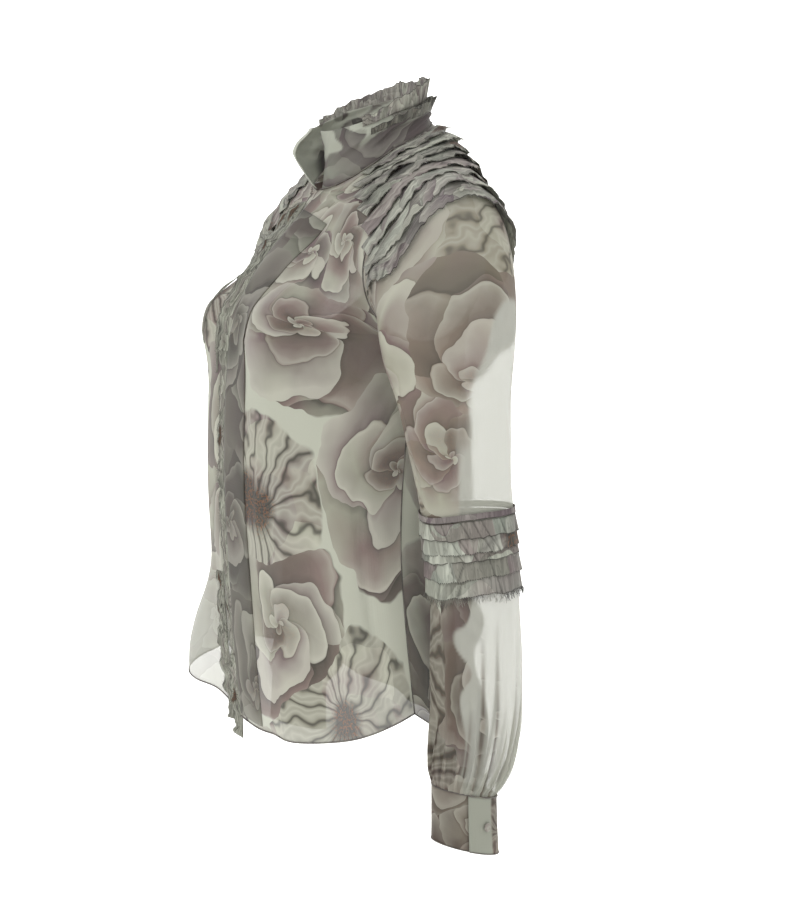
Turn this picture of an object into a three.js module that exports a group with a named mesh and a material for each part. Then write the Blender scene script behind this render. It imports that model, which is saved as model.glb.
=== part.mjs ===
// A sheer high-necked blouse, hollow as it hangs when it is worn: one closed wall for each sewn piece.
// Millimetres, +Z up. The front faces -Y and the wearer's left is +X.
// The origin lies midway between the neck ends of the two shoulder seams.

import * as THREE from 'three';

// Cloth walls and the space left at a seam
const WALL = 1.2;
const STRIP_WALL = 1.0;
const SEAM_GAP = 0.3;

// Lengths measured down from the shoulder seam's neck end
const HEM = { front: -614, side: -574, back: -628 };
const ARMPIT_Z = -195;
const NECK = { halfWidth: 64, front: -59, frontDrop: -43, back: 68, backRise: 30 };
const SHOULDER_SEAM_LENGTH = 106.4;

// Where the front and back edges reach the neckline, as a share of the way from armpit to shoulder
const FRONT_NECK_SHARE = 0.6;
const BACK_NECK_SHARE = 0.7;

// The fronts overlap at the middle, with room for the buttons between them
const FRONT_LAP = 12;
const UNDERLAP_DEPTH = 4.2;
const UNDERLAP_EASE = { from: 18, to: 42 };
const PLACKET_WIDTH = 60;
const BUTTON = { radius: 5.5, thickness: 1.8, rows: [1, 3, 5, 7, 9, 11, 14] };

// Body from hem (at 0) to armpit (at 1): half width, front and back middles, side seam, squareness
const BODY_ROWS = [
  { at: 0.0, halfWidth: 178, front: -150, back: 68, side: -30, square: 2.6 },
  { at: 0.2, halfWidth: 168, front: -157, back: 72, side: -34, square: 2.6 },
  { at: 0.42, halfWidth: 156, front: -162, back: 68, side: -35, square: 2.7 },
  { at: 0.6, halfWidth: 152, front: -165, back: 70, side: -32, square: 2.8 },
  { at: 0.8, halfWidth: 151, front: -164, back: 80, side: -24, square: 2.8 },
  { at: 1.0, halfWidth: 150, front: -157, back: 86, side: -8, square: 2.8 },
];

// Front and back edges above the armpit, by height, until they reach the neckline
const CHEST_ROWS = [
  { at: -195, front: -157, back: 86 },
  { at: -160, front: -145, back: 88 },
  { at: -126, front: -126, back: 88 },
  { at: -69, front: -82, back: 85 },
  { at: -43, front: -59, back: 83 },
  { at: 0, front: -30, back: 77 },
  { at: 30, front: 0, back: 68 },
];

// How far round each row turns, and how square it is, from armpit (at 0) to shoulder (at 1)
const TURN_ROWS = [
  { at: 0.0, turn: 90, square: 2.8 },
  { at: 0.15, turn: 80, square: 2.6 },
  { at: 0.35, turn: 62, square: 2.3 },
  { at: 0.6, turn: 42, square: 2.0 },
  { at: 0.8, turn: 26, square: 2.0 },
  { at: 1.0, turn: 8, square: 2.0 },
];

// Ease over the bust, as a soft swelling of each front
const BUST = { x: 90, z: -168, swell: 24, wide: 46, above: 27, below: 52, drop: 5 };

// The wearer's right front swings out at the hem
const FLARE = { at: 0.42, wide: 0.3, swing: 36, height: 0.42, lift: 24 };

// Sleeve sections by length down the arm: middle, half reach across, half depth, inset at the armhole, tilt
const SLEEVE_ROWS = [
  { at: 0, x: 157.5, y: 6, z: -111.5, reachX: 7.5, reachY: 13, reachZ: 83.5, depth: 71, inset: 25, tilt: 0 },
  { at: 26, x: 171, y: 7, z: -121, reachX: 17, reachY: 9, reachZ: 74, depth: 75, inset: 14, tilt: 0 },
  { at: 62, x: 181, y: 5, z: -142, reachX: 24, reachY: 5, reachZ: 58, depth: 76, inset: 6, tilt: 0 },
  { at: 105, x: 187, y: 3, z: -172, reachX: 27, reachY: 2, reachZ: 38, depth: 76, inset: 2, tilt: 0 },
  { at: 150, x: 190, y: 3, z: -206, reachX: 29, reachY: 0, reachZ: 18, depth: 73, inset: 0, tilt: 0 },
  { at: 200, x: 193, y: 8, z: -250, reachX: 30, reachY: 0, reachZ: 6, depth: 64, inset: 0, tilt: 0 },
  { at: 250, x: 196, y: 13, z: -300, reachX: 31, reachY: 0, reachZ: 0, depth: 58, inset: 0, tilt: 0 },
  { at: 315, x: 200, y: 18, z: -364, reachX: 33, reachY: 0, reachZ: 0, depth: 50, inset: 0, tilt: 0 },
  { at: 404, x: 206, y: 24, z: -453, reachX: 34, reachY: 0, reachZ: 0, depth: 48.5, inset: 0, tilt: 0 },
  { at: 511, x: 215, y: 22, z: -560, reachX: 35, reachY: 0, reachZ: 0, depth: 48.5, inset: 0, tilt: 0.05 },
  { at: 562, x: 220, y: 14, z: -611, reachX: 33, reachY: 0, reachZ: 0, depth: 45, inset: 0, tilt: 0.16 },
  { at: 588, x: 224, y: 5, z: -637, reachX: 28, reachY: 0, reachZ: 0, depth: 37.5, inset: 0, tilt: 0.24 },
  { at: 594, x: 225, y: 3, z: -643, reachX: 26, reachY: 0, reachZ: 0, depth: 35, inset: 0, tilt: 0.26 },
  { at: 652, x: 229, y: 2, z: -701, reachX: 27, reachY: 0, reachZ: 0, depth: 36, inset: 0, tilt: 0.3 },
];
const ELBOW_SEAM = 358;
const CUFF = { from: 594, to: 652, lapEdge: 13, turn: 378, rise: 2.2, button: -20, buttonAt: 624 };

// Gathers of the lower sleeve into the cuff, three points to a gather
const GATHERS = { count: 18, height: 3.4, from: 470, peak: 578, end: 594 };

// Soft lengthwise folds: place across the piece, width, depth, and where they start and end
const FRONT_FOLDS = [
  { at: 0.24, wide: 0.07, depth: -3.5, from: 0.86, to: -0.2 },
  { at: 0.4, wide: 0.08, depth: 4.5, from: 0.8, to: -0.2 },
  { at: 0.56, wide: 0.07, depth: -4.5, from: 0.9, to: -0.2 },
  { at: 0.71, wide: 0.06, depth: 4, from: 0.7, to: -0.2 },
  { at: 0.84, wide: 0.05, depth: -3.5, from: 0.75, to: -0.2 },
];
const BACK_FOLDS = [
  { at: 0.1, wide: 0.07, depth: -5, from: 0.85, to: -0.2 },
  { at: 0.28, wide: 0.08, depth: 5, from: 0.95, to: -0.2 },
  { at: 0.47, wide: 0.07, depth: -5, from: 0.8, to: -0.2 },
  { at: 0.65, wide: 0.07, depth: 4.5, from: 0.75, to: -0.2 },
  { at: 0.82, wide: 0.05, depth: -3.5, from: 0.7, to: -0.2 },
];
const SLEEVE_FOLDS = [
  { at: 18, wide: 13, depth: -3, from: 60, to: 330 },
  { at: 48, wide: 15, depth: 3, from: 110, to: 340 },
  { at: 128, wide: 16, depth: -3, from: 130, to: 350 },
  { at: 205, wide: 18, depth: 2.5, from: 150, to: 340 },
  { at: 288, wide: 15, depth: -3.5, from: 100, to: 345 },
  { at: 330, wide: 12, depth: 3, from: 80, to: 335 },
];

// Crescent strips over each shoulder, from the neck out: angles where they end in front and behind
const SHOULDER_TIERS = [
  { front: 30, back: 40 },
  { front: 45, back: 60 },
  { front: 56, back: 74 },
  { front: 65, back: 84 },
  { front: 74, back: 92 },
  { front: 84, back: 99 },
  { front: 94, back: 105 },
  { front: 106, back: 112 },
];
const TIER = { first: 7, step: 15.3, width: 21.5, root: 2.1, rise: 6.2, backRise: 5, wave: 1.1, columns: 18 };

// Each strip runs further down the sleeve in front of the shoulder than over it
const TIER_SWEEP = { angle: 62, wide: 34, step: 5.2 };

// Elbow strips by length down the sleeve, the band first
const ELBOW_STRIPS = [
  { name: 'elbow_band', from: 309, to: 315.5, root: 1.7, edge: 1.9 },
  { name: 'elbow_tier_1', from: 316.5, to: 333, root: 1.45, edge: 5.4 },
  { name: 'elbow_tier_2', from: 329.5, to: 348, root: 1.9, edge: 5.2 },
  { name: 'elbow_tier_3', from: 344.5, to: 356, root: 1.9, edge: 4.6 },
  { name: 'elbow_tier_4', from: 352, to: 374, root: 1.7, edge: 5.2 },
  { name: 'elbow_tier_5', from: 370, to: 391, root: 1.9, edge: 5.0 },
];
const ELBOW_DIP = { angle: 70, wide: 42, drop: 5 };

// Collar height and lean by angle round the neck from the middle front, wearer's left first
const COLLAR_ROWS = [
  { at: 0, height: 62, lean: 2, roll: 0 },
  { at: 45, height: 53, lean: 0, roll: 0 },
  { at: 90, height: 41, lean: -3, roll: 0 },
  { at: 135, height: 33, lean: -7, roll: 0 },
  { at: 180, height: 28, lean: -9, roll: 0 },
  { at: 225, height: 33, lean: -7, roll: 0 },
  { at: 270, height: 42, lean: -3, roll: 0 },
  { at: 315, height: 56, lean: 2, roll: 7 },
  { at: 340, height: 62, lean: 5, roll: 17 },
  { at: 360, height: 64, lean: 4, roll: 20 },
];
const COLLAR = { lift: 0.9, start: 3, end: 354, foldDepth: 3.2 };
const COLLAR_FRILLS = [
  { name: 'collar_frill_top', from: 58, to: 302, base: -6, height: 23, out: 0.6, lean: 2.3, waves: 17, wave: 1.6 },
  { name: 'collar_frill_under', from: 66, to: 294, base: -17, height: 15, out: 1.2, lean: 4.6, waves: 15, wave: 1.3 },
];

// Frills on the wearer's right front: height of both ends, distance from the middle, width,
// space under the root, height of the free edge and of its waves
const FRONT_FRILLS = [
  { name: 'front_frill_1', top: -52, bottom: -640, inner: 15, width: 25, root: 1, edge: 3.2, rise: 3.6, waves: 15 },
  { name: 'front_frill_2', top: -56, bottom: -236, inner: 37, width: 28, root: 0.7, edge: 2.6, rise: 4, waves: 6 },
  { name: 'front_frill_3', top: -72, bottom: -206, inner: 68, width: 24, root: 0.7, edge: 2, rise: 3, waves: 5 },
  { name: 'front_frill_4', top: -455, bottom: -628, inner: 43, width: 22, root: 0.7, edge: 2.6, rise: 5.4, waves: 5 },
];

// Cloth colours, one for each kind of piece
const COLOURS = {
  panel: 0x9a938b,
  sleeve: 0xb4b2a4,
  band: 0x978a87,
  strip: 0x86857a,
  collar: 0x938a86,
  button: 0x8f8a84,
};

const mix = THREE.MathUtils.lerp;
const clamp = THREE.MathUtils.clamp;
const rise = THREE.MathUtils.smoothstep;
const turn = THREE.MathUtils.degToRad;
const bell = (distance, width) => Math.exp(-((distance / width) ** 2));

// Smooth value of one named column of a table, at a place along it
function read(table, at, column) {
  let i = table.findIndex((row) => row.at > at) - 1;
  if (i === -2) i = table.length - 2;
  i = Math.max(i, 0);
  const a = table[i];
  const b = table[i + 1];
  const before = table[Math.max(i - 1, 0)];
  const after = table[Math.min(i + 2, table.length - 1)];
  const span = b.at - a.at;
  const slopeA = ((b[column] - before[column]) / (b.at - before.at)) * span;
  const slopeB = ((after[column] - a[column]) / (after.at - a.at)) * span;
  const t = clamp((at - a.at) / span, 0, 1);
  const [t2, t3] = [t * t, t * t * t];
  return (2 * t3 - 3 * t2 + 1) * a[column] + (t3 - 2 * t2 + t) * slopeA
    + (3 * t2 - 2 * t3) * b[column] + (t3 - t2) * slopeB;
}

// Evenly spaced numbers with both ends
function steps(from, to, count) {
  return Array.from({ length: count + 1 }, (_, i) => mix(from, to, i / count));
}

// A row of cloth bends like part of a superellipse: share across and share of depth
function bend(share, turnDegrees, square) {
  const spot = (angle) => {
    const across = Math.abs(Math.sin(angle));
    const deep = Math.abs(Math.cos(angle));
    const reach = (across ** square + deep ** square) ** (-1 / square);
    return [reach * Math.sin(angle), reach * Math.cos(angle)];
  };
  const whole = turn(turnDegrees);
  const [x, y] = spot(share * whole);
  const [endX, endY] = spot(whole);
  return [x / endX, (1 - y) / (1 - endY)];
}

// Point of the armhole seam: 0 at the shoulder, 90 at the front, 180 underarm, 270 at the back
const armhole = (angle) => sleevePoint(0, angle);

// Point of the neckline: 0 in the middle front, 90 at the shoulder, 180 in the middle back
function neckline(angle) {
  const across = Math.sin(turn(angle)) * NECK.halfWidth;
  const along = Math.cos(turn(angle));
  const [depth, height] = along > 0 ? [NECK.front, NECK.frontDrop] : [-NECK.back, -NECK.backRise];
  return new THREE.Vector3(across, depth * along, height * along);
}

// Sum of the soft folds at one spot of a piece, where level runs from the start to the end of a fold
function folded(table, across, level) {
  let sum = 0;
  for (const fold of table) {
    const along = (level - fold.from) / (fold.to - fold.from);
    sum += fold.depth * bell(across - fold.at, fold.wide) * rise(along, 0, 0.7);
  }
  return sum;
}

// Both fronts share one surface: share 0 at the middle, 1 at the side; level 0 hem, 1 armpit, 2 shoulder
function frontPoint(share, level) {
  const body = Math.min(level, 1);
  const chest = clamp(level - 1, 0, 1);
  let inner = new THREE.Vector3(0, read(BODY_ROWS, body, 'front'), mix(HEM.front, ARMPIT_Z, body));
  let outer = new THREE.Vector3(
    read(BODY_ROWS, body, 'halfWidth'),
    read(BODY_ROWS, body, 'side'),
    mix(HEM.side, ARMPIT_Z, body),
  );
  let [turned, square] = [90, read(BODY_ROWS, body, 'square')];
  let lean = 2.2;
  if (chest > 0) {
    outer = armhole(180 * (1 - chest));
    turned = read(TURN_ROWS, chest, 'turn');
    square = read(TURN_ROWS, chest, 'square');
    lean = mix(2.2, 1.2, rise(chest, 0, 0.6));
    if (chest < FRONT_NECK_SHARE) {
      const z = mix(ARMPIT_Z, NECK.frontDrop, chest / FRONT_NECK_SHARE);
      inner = new THREE.Vector3(0, read(CHEST_ROWS, z, 'front'), z);
    } else {
      inner = neckline(90 * ((chest - FRONT_NECK_SHARE) / (1 - FRONT_NECK_SHARE)));
    }
  }
  const [across, deep] = bend(share, turned, square);
  const point = new THREE.Vector3(
    mix(inner.x, outer.x, across),
    mix(inner.y, outer.y, deep),
    mix(inner.z, outer.z, Math.abs(share) ** lean),
  );
  const height = point.z - BUST.z;
  const overBust = bell(point.x - BUST.x, BUST.wide) * (height > 0 ? bell(height, BUST.above) : 1);
  const fade = height > 0 ? 1 : mix(BUST.drop / BUST.swell, 1, bell(height, BUST.below));
  const low = rise(point.z, HEM.front, BUST.z - 150);
  point.y -= BUST.swell * overBust * fade * (height > 0 ? 1 : low) * (1 - rise(share, 0.75, 1));
  const window = rise(share, 0.08, 0.25) * (1 - rise(share, 0.85, 1));
  point.y -= folded(FRONT_FOLDS, share, level) * window * (1 - rise(share, 0.4, 1) * 0.5);
  point.x += folded(FRONT_FOLDS, share, level) * window * rise(share, 0.4, 1) * 0.6;
  return point;
}

// Half of the back: share 0 at the middle, 1 at the side; level as on the fronts
function backPoint(share, level) {
  const body = Math.min(level, 1);
  const chest = clamp(level - 1, 0, 1);
  let inner = new THREE.Vector3(0, read(BODY_ROWS, body, 'back'), mix(HEM.back, ARMPIT_Z, body));
  let outer = new THREE.Vector3(
    read(BODY_ROWS, body, 'halfWidth'),
    read(BODY_ROWS, body, 'side'),
    mix(HEM.side, ARMPIT_Z, body),
  );
  let [turned, square] = [90, 2.3];
  let lean = 2.2;
  if (chest > 0) {
    outer = armhole(180 * (1 + chest));
    turned = read(TURN_ROWS, chest, 'turn');
    square = mix(2.3, 2, chest);
    lean = mix(2.2, 1.3, rise(chest, 0, 0.6));
    if (chest < BACK_NECK_SHARE) {
      const z = mix(ARMPIT_Z, NECK.backRise, chest / BACK_NECK_SHARE);
      inner = new THREE.Vector3(0, read(CHEST_ROWS, z, 'back'), z);
    } else {
      inner = neckline(180 - 90 * ((chest - BACK_NECK_SHARE) / (1 - BACK_NECK_SHARE)));
    }
  }
  const [across, deep] = bend(share, turned, square);
  const point = new THREE.Vector3(
    mix(inner.x, outer.x, across),
    mix(inner.y, outer.y, deep),
    mix(inner.z, outer.z, share ** lean),
  );
  const window = 1 - rise(share, 0.85, 1);
  point.y += folded(BACK_FOLDS, share, level) * window * (1 - rise(share, 0.4, 1) * 0.5);
  point.x += folded(BACK_FOLDS, share, level) * window * rise(share, 0.4, 1) * 0.6;
  return point;
}

// The left sleeve as one tube from the armhole to the cuff's edge
function sleevePoint(length, angle, out = 0) {
  const row = (column) => read(SLEEVE_ROWS, length, column);
  const across = Math.cos(turn(angle));
  const deep = -Math.sin(turn(angle));
  const reachX = row('reachX') + out;
  const depth = row('depth') + out;
  const y = row('y') + row('reachY') * across + depth * deep;
  return new THREE.Vector3(
    row('x') + reachX * across - row('inset') * deep * deep,
    y,
    row('z') + row('reachZ') * across - row('tilt') * depth * deep,
  );
}

// Soft folds of the upper sleeve and gathers of the lower one, outward
function sleeveEase(length, angle) {
  const whole = ((angle % 360) + 360) % 360;
  let sum = length < ELBOW_SEAM ? folded(SLEEVE_FOLDS, whole, length) : 0;
  sum *= 1 - rise(length, 270, 306);
  const grown = rise(length, GATHERS.from, GATHERS.peak) * (1 - rise(length, GATHERS.peak, GATHERS.end));
  const phase = turn(angle * GATHERS.count) + 0.9 * Math.sin(turn(angle * 2) + length / 90);
  return sum + GATHERS.height * grown * Math.cos(phase);
}

// A surface gives a point and its outward direction; directions come from small steps across it
function surface(place, sign, [uFrom, uTo], [vFrom, vTo], step = 0.004) {
  return (u, v) => {
    const du = (uTo - uFrom) * step;
    const dv = (vTo - vFrom) * step;
    const alongU = place(Math.min(u + du, uTo), v).sub(place(Math.max(u - du, uFrom), v));
    const alongV = place(u, Math.min(v + dv, vTo)).sub(place(u, Math.max(v - dv, vFrom)));
    const out = alongU.cross(alongV).multiplyScalar(sign).normalize();
    return { point: place(u, v), out };
  };
}

const frontCloth = surface(frontPoint, 1, [-0.1, 1], [0, 2]);
const backCloth = surface(backPoint, -1, [0, 1], [0, 2]);
const sleeveCloth = surface(
  (length, angle) => sleevePoint(length, angle, sleeveEase(length, angle)),
  -1,
  [0, CUFF.to],
  [-720, 720],
  0.0008,
);

// Along a seam both pieces end on one shared direction, so that their edges meet face to face
function sharedOut(...outs) {
  const sum = new THREE.Vector3();
  outs.forEach((out) => sum.add(out));
  sum.normalize();
  const squareness = Math.min(...outs.map((out) => sum.dot(out)));
  return sum.multiplyScalar(1 / Math.max(squareness, 0.7));
}

const onEdge = (value, edge) => Math.abs(value - edge) < 1e-6;

function frontSeamed(share, level) {
  const spot = frontCloth(share, level);
  const outs = [spot.out];
  const angle = 180 * (2 - level);
  if (onEdge(share, 1) && level <= 1 + 1e-6) outs.push(backCloth(1, level).out);
  if (onEdge(share, 1) && level >= 1 - 1e-6) outs.push(sleeveCloth(0, angle).out);
  if (onEdge(level, 2)) outs.push(backCloth(Math.max(share, 0), 2).out);
  return { point: spot.point, out: sharedOut(...outs) };
}

function backSeamed(share, level) {
  const spot = backCloth(share, level);
  const outs = [spot.out];
  const angle = 180 * level;
  if (onEdge(share, 0) && spot.point.x < 1e-6) spot.out.x = 0;
  if (onEdge(share, 1) && level <= 1 + 1e-6) outs.push(frontCloth(1, level).out);
  if (onEdge(share, 1) && level >= 1 - 1e-6) outs.push(sleeveCloth(0, angle).out);
  if (onEdge(level, 2)) outs.push(frontCloth(share, 2).out);
  return { point: spot.point, out: sharedOut(...outs) };
}

function sleeveSeamed(length, angle) {
  const spot = sleeveCloth(length, angle);
  const outs = [spot.out];
  const whole = ((angle % 360) + 360) % 360;
  if (onEdge(length, 0) && whole <= 180) outs.push(frontCloth(1, 2 - whole / 180).out);
  if (onEdge(length, 0) && (whole >= 180 || whole === 0)) outs.push(backCloth(1, whole ? whole / 180 : 2).out);
  return { point: spot.point, out: sharedOut(...outs) };
}

// The shoulder as one surface from the neck over the armhole seam onto the sleeve
function shoulderPoint(length, angle) {
  if (length > SHOULDER_SEAM_LENGTH) return sleevePoint(length - SHOULDER_SEAM_LENGTH, angle);
  const share = length / SHOULDER_SEAM_LENGTH;
  return angle >= 0 ? frontPoint(share, 2 - angle / 180) : backPoint(share, 2 + angle / 180);
}
const shoulderCloth = surface(shoulderPoint, -1, [0, 200], [-130, 130], 0.035);

// Mirror image on the wearer's right
function mirrored(cloth) {
  return (u, v) => {
    const { point, out } = cloth(u, v);
    return { point: point.setX(-point.x), out: out.setX(-out.x) };
  };
}

// A piece of cloth: grids of quads that share the points they have in common
class Cloth {
  points = [];
  outs = [];
  quads = [];
  known = new Map();

  corner({ point, out }) {
    const key = point.toArray().map((value) => Math.round(value * 1000)).join();
    if (!this.known.has(key)) {
      this.known.set(key, this.points.length);
      this.points.push(point);
      this.outs.push(out);
    }
    return this.known.get(key);
  }

  grid(us, vs, cloth) {
    const rows = us.map((u) => vs.map((v) => this.corner(cloth(u, v))));
    for (let i = 0; i + 1 < rows.length; i += 1) {
      for (let j = 0; j + 1 < vs.length; j += 1) {
        this.quads.push([rows[i][j], rows[i + 1][j], rows[i + 1][j + 1], rows[i][j + 1]]);
      }
    }
    return this;
  }

  // Turn every quad to face outward
  face() {
    for (const quad of this.quads) {
      const [a, b, c, d] = quad.map((i) => this.points[i]);
      const facing = c.clone().sub(a).cross(d.clone().sub(b));
      const out = new THREE.Vector3();
      quad.forEach((i) => out.add(this.outs[i]));
      if (facing.dot(out) < 0) quad.reverse();
    }
  }

  // Edges that only one quad has
  border() {
    const edges = new Map();
    for (const quad of this.quads) {
      quad.forEach((a, i) => edges.set(`${a},${quad[(i + 1) % 4]}`, [a, quad[(i + 1) % 4]]));
    }
    return [...edges.values()].filter(([a, b]) => !edges.has(`${b},${a}`));
  }

  // Draw the border in, square to each edge
  drawIn(distance) {
    const ways = new Map();
    for (const [a, b] of this.border()) {
      const edge = this.points[b].clone().sub(this.points[a]).normalize();
      for (const corner of [a, b]) {
        const inward = this.outs[corner].clone().cross(edge).normalize();
        ways.set(corner, [...(ways.get(corner) ?? []), inward]);
      }
    }
    for (const [corner, inwards] of ways) {
      this.points[corner] = this.points[corner].clone().addScaledVector(sharedOut(...inwards), distance);
    }
  }

  // Closed wall whose outer face is the drawn surface
  solid(wall) {
    this.face();
    this.drawIn(SEAM_GAP / 2);
    const count = this.points.length;
    const inner = this.points.map((point, i) => point.clone().addScaledVector(this.outs[i], -wall));
    const triangles = [];
    const length = (i, j) => this.points[i].distanceTo(this.points[j]);
    for (const quad of this.quads) {
      const [a, b, c, d] = length(quad[0], quad[2]) < length(quad[1], quad[3]) ? quad : [...quad.slice(1), quad[0]];
      triangles.push(a, b, c, a, c, d);
      triangles.push(a + count, c + count, b + count, a + count, d + count, c + count);
    }
    // Each rim quad is split from its upper, rearmost corner, so that two rims at a seam lie face to face
    const place = (i) => this.points[i].z + 0.37 * this.points[i].y;
    for (const [a, b] of this.border()) {
      if (place(a) < place(b)) triangles.push(b, a, a + count, b, a + count, b + count);
      else triangles.push(b, a, b + count, a, a + count, b + count);
    }
    const geometry = new THREE.BufferGeometry();
    geometry.setFromPoints([...this.points, ...inner]);
    geometry.setIndex(triangles);
    geometry.computeVertexNormals();
    return geometry;
  }
}

const blouse = new THREE.Group();

function add(name, geometry, colour, roughness = 0.85) {
  const material = new THREE.MeshStandardMaterial({ color: colour, roughness, metalness: 0, name });
  const mesh = new THREE.Mesh(geometry, material);
  mesh.name = name;
  blouse.add(mesh);
}

// Levels of the body: even rows to the armpit, then one row for each step of the armhole
const ARMHOLE_STEPS = 10;
const levels = (low) => [...steps(0, 1, low), ...steps(1, 2, ARMHOLE_STEPS).slice(1)];

// Fronts: the left one laps over the right one, which steps in under it
const frontLevels = levels(12);
const frontShares = [0, 0.06, 0.13, 0.21, 0.29, 0.37, 0.45, 0.53, 0.61, 0.69, 0.77, 0.85, 0.93, 1];

function lapShare(level) {
  const row = read(BODY_ROWS, Math.min(level, 1), 'halfWidth');
  const wanted = FRONT_LAP / row / 1.5;
  return wanted * (1 - rise(level, 1 + FRONT_NECK_SHARE - 0.3, 1 + FRONT_NECK_SHARE - 0.1));
}

function frontWithLap(share, level) {
  return frontSeamed(share === 0 ? -lapShare(level) : share, level);
}

function rightFront(share, level) {
  const spot = frontWithLap(share, level);
  const near = 1 - rise(spot.point.x, UNDERLAP_EASE.from, UNDERLAP_EASE.to);
  const low = 1 - rise(level, 1 + FRONT_NECK_SHARE - 0.1, 1 + FRONT_NECK_SHARE);
  spot.point.addScaledVector(spot.out, -UNDERLAP_DEPTH * near * low);
  const swing = bell(share - FLARE.at, FLARE.wide) * (1 - rise(level, 0, FLARE.height)) * rise(share, 0.1, 0.3);
  spot.point.addScaledVector(spot.out, FLARE.swing * swing * (1 - rise(share, 0.7, 1)));
  const across = rise(share, 0.05, 0.3) * (1 - rise(share, 0.7, 1));
  spot.point.z += FLARE.lift * (1 - rise(level, 0, FLARE.height)) * across;
  return spot;
}

add('front_left', new Cloth().grid(frontShares, frontLevels, frontWithLap).solid(WALL), COLOURS.panel);
add('front_right', new Cloth().grid(frontShares, frontLevels, mirrored(rightFront)).solid(WALL), COLOURS.panel);

// Back: two halves that join down the middle
const backLevels = levels(8);
const backShares = [0, 0.1, 0.2, 0.3, 0.4, 0.5, 0.6, 0.7, 0.8, 0.9, 1];
const back = new Cloth();
back.grid(backShares, backLevels, backSeamed);
back.grid(backShares, backLevels, mirrored(backSeamed));
add('back', back.solid(WALL), COLOURS.panel);

// Placket: a straight double band on the left front's edge
function placket(across, level) {
  const row = read(BODY_ROWS, Math.min(level, 1), 'halfWidth');
  const from = -lapShare(level) * row * 1.5 + 0.6;
  const target = mix(from, from + PLACKET_WIDTH, across);
  let share = target / row / 1.3;
  for (let i = 0; i < 6; i += 1) share += (target - frontPoint(share, level).x) / (row * 1.4);
  const { point, out } = frontCloth(share, level);
  point.addScaledVector(out, WALL + SEAM_GAP + 0.4);
  return { point, out };
}
const placketLevels = [0.012, ...frontLevels.filter((level) => level > 0 && level < 1 + FRONT_NECK_SHARE)];
add('placket', new Cloth().grid(steps(0, 1, 6), placketLevels, placket).solid(WALL), COLOURS.band);

// Level of the front where it reaches a height, near the middle
function levelAt(height) {
  if (height < ARMPIT_Z) return (height - HEM.front) / (ARMPIT_Z - HEM.front);
  return 1 + (FRONT_NECK_SHARE * (height - ARMPIT_Z)) / (NECK.frontDrop - ARMPIT_Z);
}

// Share of a front that lies at a distance from the middle
function shareAt(distance, level) {
  let share = distance / 220;
  for (let i = 0; i < 12; i += 1) share += (distance - frontPoint(share, level).x) / 230;
  return share;
}

// Frills: crumpled strips on the right front, rooted along the inner edge
function frontFrill(frill) {
  return (across, height) => {
    const level = Math.min(levelAt(height), 1 + FRONT_NECK_SHARE - 0.02);
    const progress = (height - frill.top) / (frill.bottom - frill.top);
    const taper = 0.45 + 0.55 * Math.sin(Math.PI * clamp(progress, 0.04, 0.96));
    const narrow = frill.name === 'front_frill_1' ? 1 - 0.4 * bell(height + 380, 90) : 1;
    const distance = frill.inner + across * frill.width * taper * narrow;
    const { point, out } = rightFront(shareAt(distance, level), Math.max(level, 0));
    const wave = Math.sin(2 * Math.PI * frill.waves * progress + 1.3 * Math.sin(9 * progress));
    const lift = STRIP_WALL + frill.root + across * (frill.edge + frill.rise * (0.5 + 0.5 * wave));
    point.addScaledVector(out, lift);
    point.z += Math.min(height - HEM.front, 0);
    return { point, out };
  };
}
for (const frill of FRONT_FRILLS) {
  const heights = steps(frill.top, frill.bottom, frill.waves * 4);
  const strip = new Cloth().grid(steps(0, 1, 1), heights, mirrored(frontFrill(frill)));
  add(frill.name, strip.solid(STRIP_WALL), COLOURS.strip);
}

// Buttons: covered discs between the two fronts
for (const [i, row] of BUTTON.rows.entries()) {
  const { point, out } = frontCloth(0, (frontLevels[row] + frontLevels[row + 1]) / 2);
  point.copy(frontPoint(0, frontLevels[row])).lerp(frontPoint(0, frontLevels[row + 1]), 0.5);
  const disc = new THREE.CylinderGeometry(BUTTON.radius, BUTTON.radius, BUTTON.thickness, 12);
  disc.applyQuaternion(new THREE.Quaternion().setFromUnitVectors(new THREE.Vector3(0, 1, 0), out));
  point.addScaledVector(out, -(WALL + UNDERLAP_DEPTH) / 2);
  disc.translate(...point.toArray());
  add(`button_${i + 1}`, disc, COLOURS.button, 0.7);
}

// Collar: a tall standing band whose right end rolls outward
function collarPoint(angle, share) {
  const foot = neckline(angle);
  const side = new THREE.Vector3(Math.sin(turn(angle)), -Math.cos(turn(angle)), 0);
  const height = read(COLLAR_ROWS, angle, 'height');
  const belly = Math.sin(Math.PI * share);
  const fold = Math.sin(turn(angle * 1.5) + share * 7.5) * belly;
  const out = read(COLLAR_ROWS, angle, 'lean') * share
    + read(COLLAR_ROWS, angle, 'roll') * belly
    + COLLAR.foldDepth * fold * rise(angle, 8, 40) * (1 - 0.6 * bell(angle - 180, 100));
  foot.addScaledVector(side, out);
  foot.z += COLLAR.lift + height * share;
  return foot;
}
const collarCloth = surface(collarPoint, 1, [COLLAR.start, COLLAR.end], [0, 1]);
const collarAngles = steps(COLLAR.start, COLLAR.end, 26);
add('collar', new Cloth().grid(collarAngles, steps(0, 1, 6), collarCloth).solid(WALL), COLOURS.collar);

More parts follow.
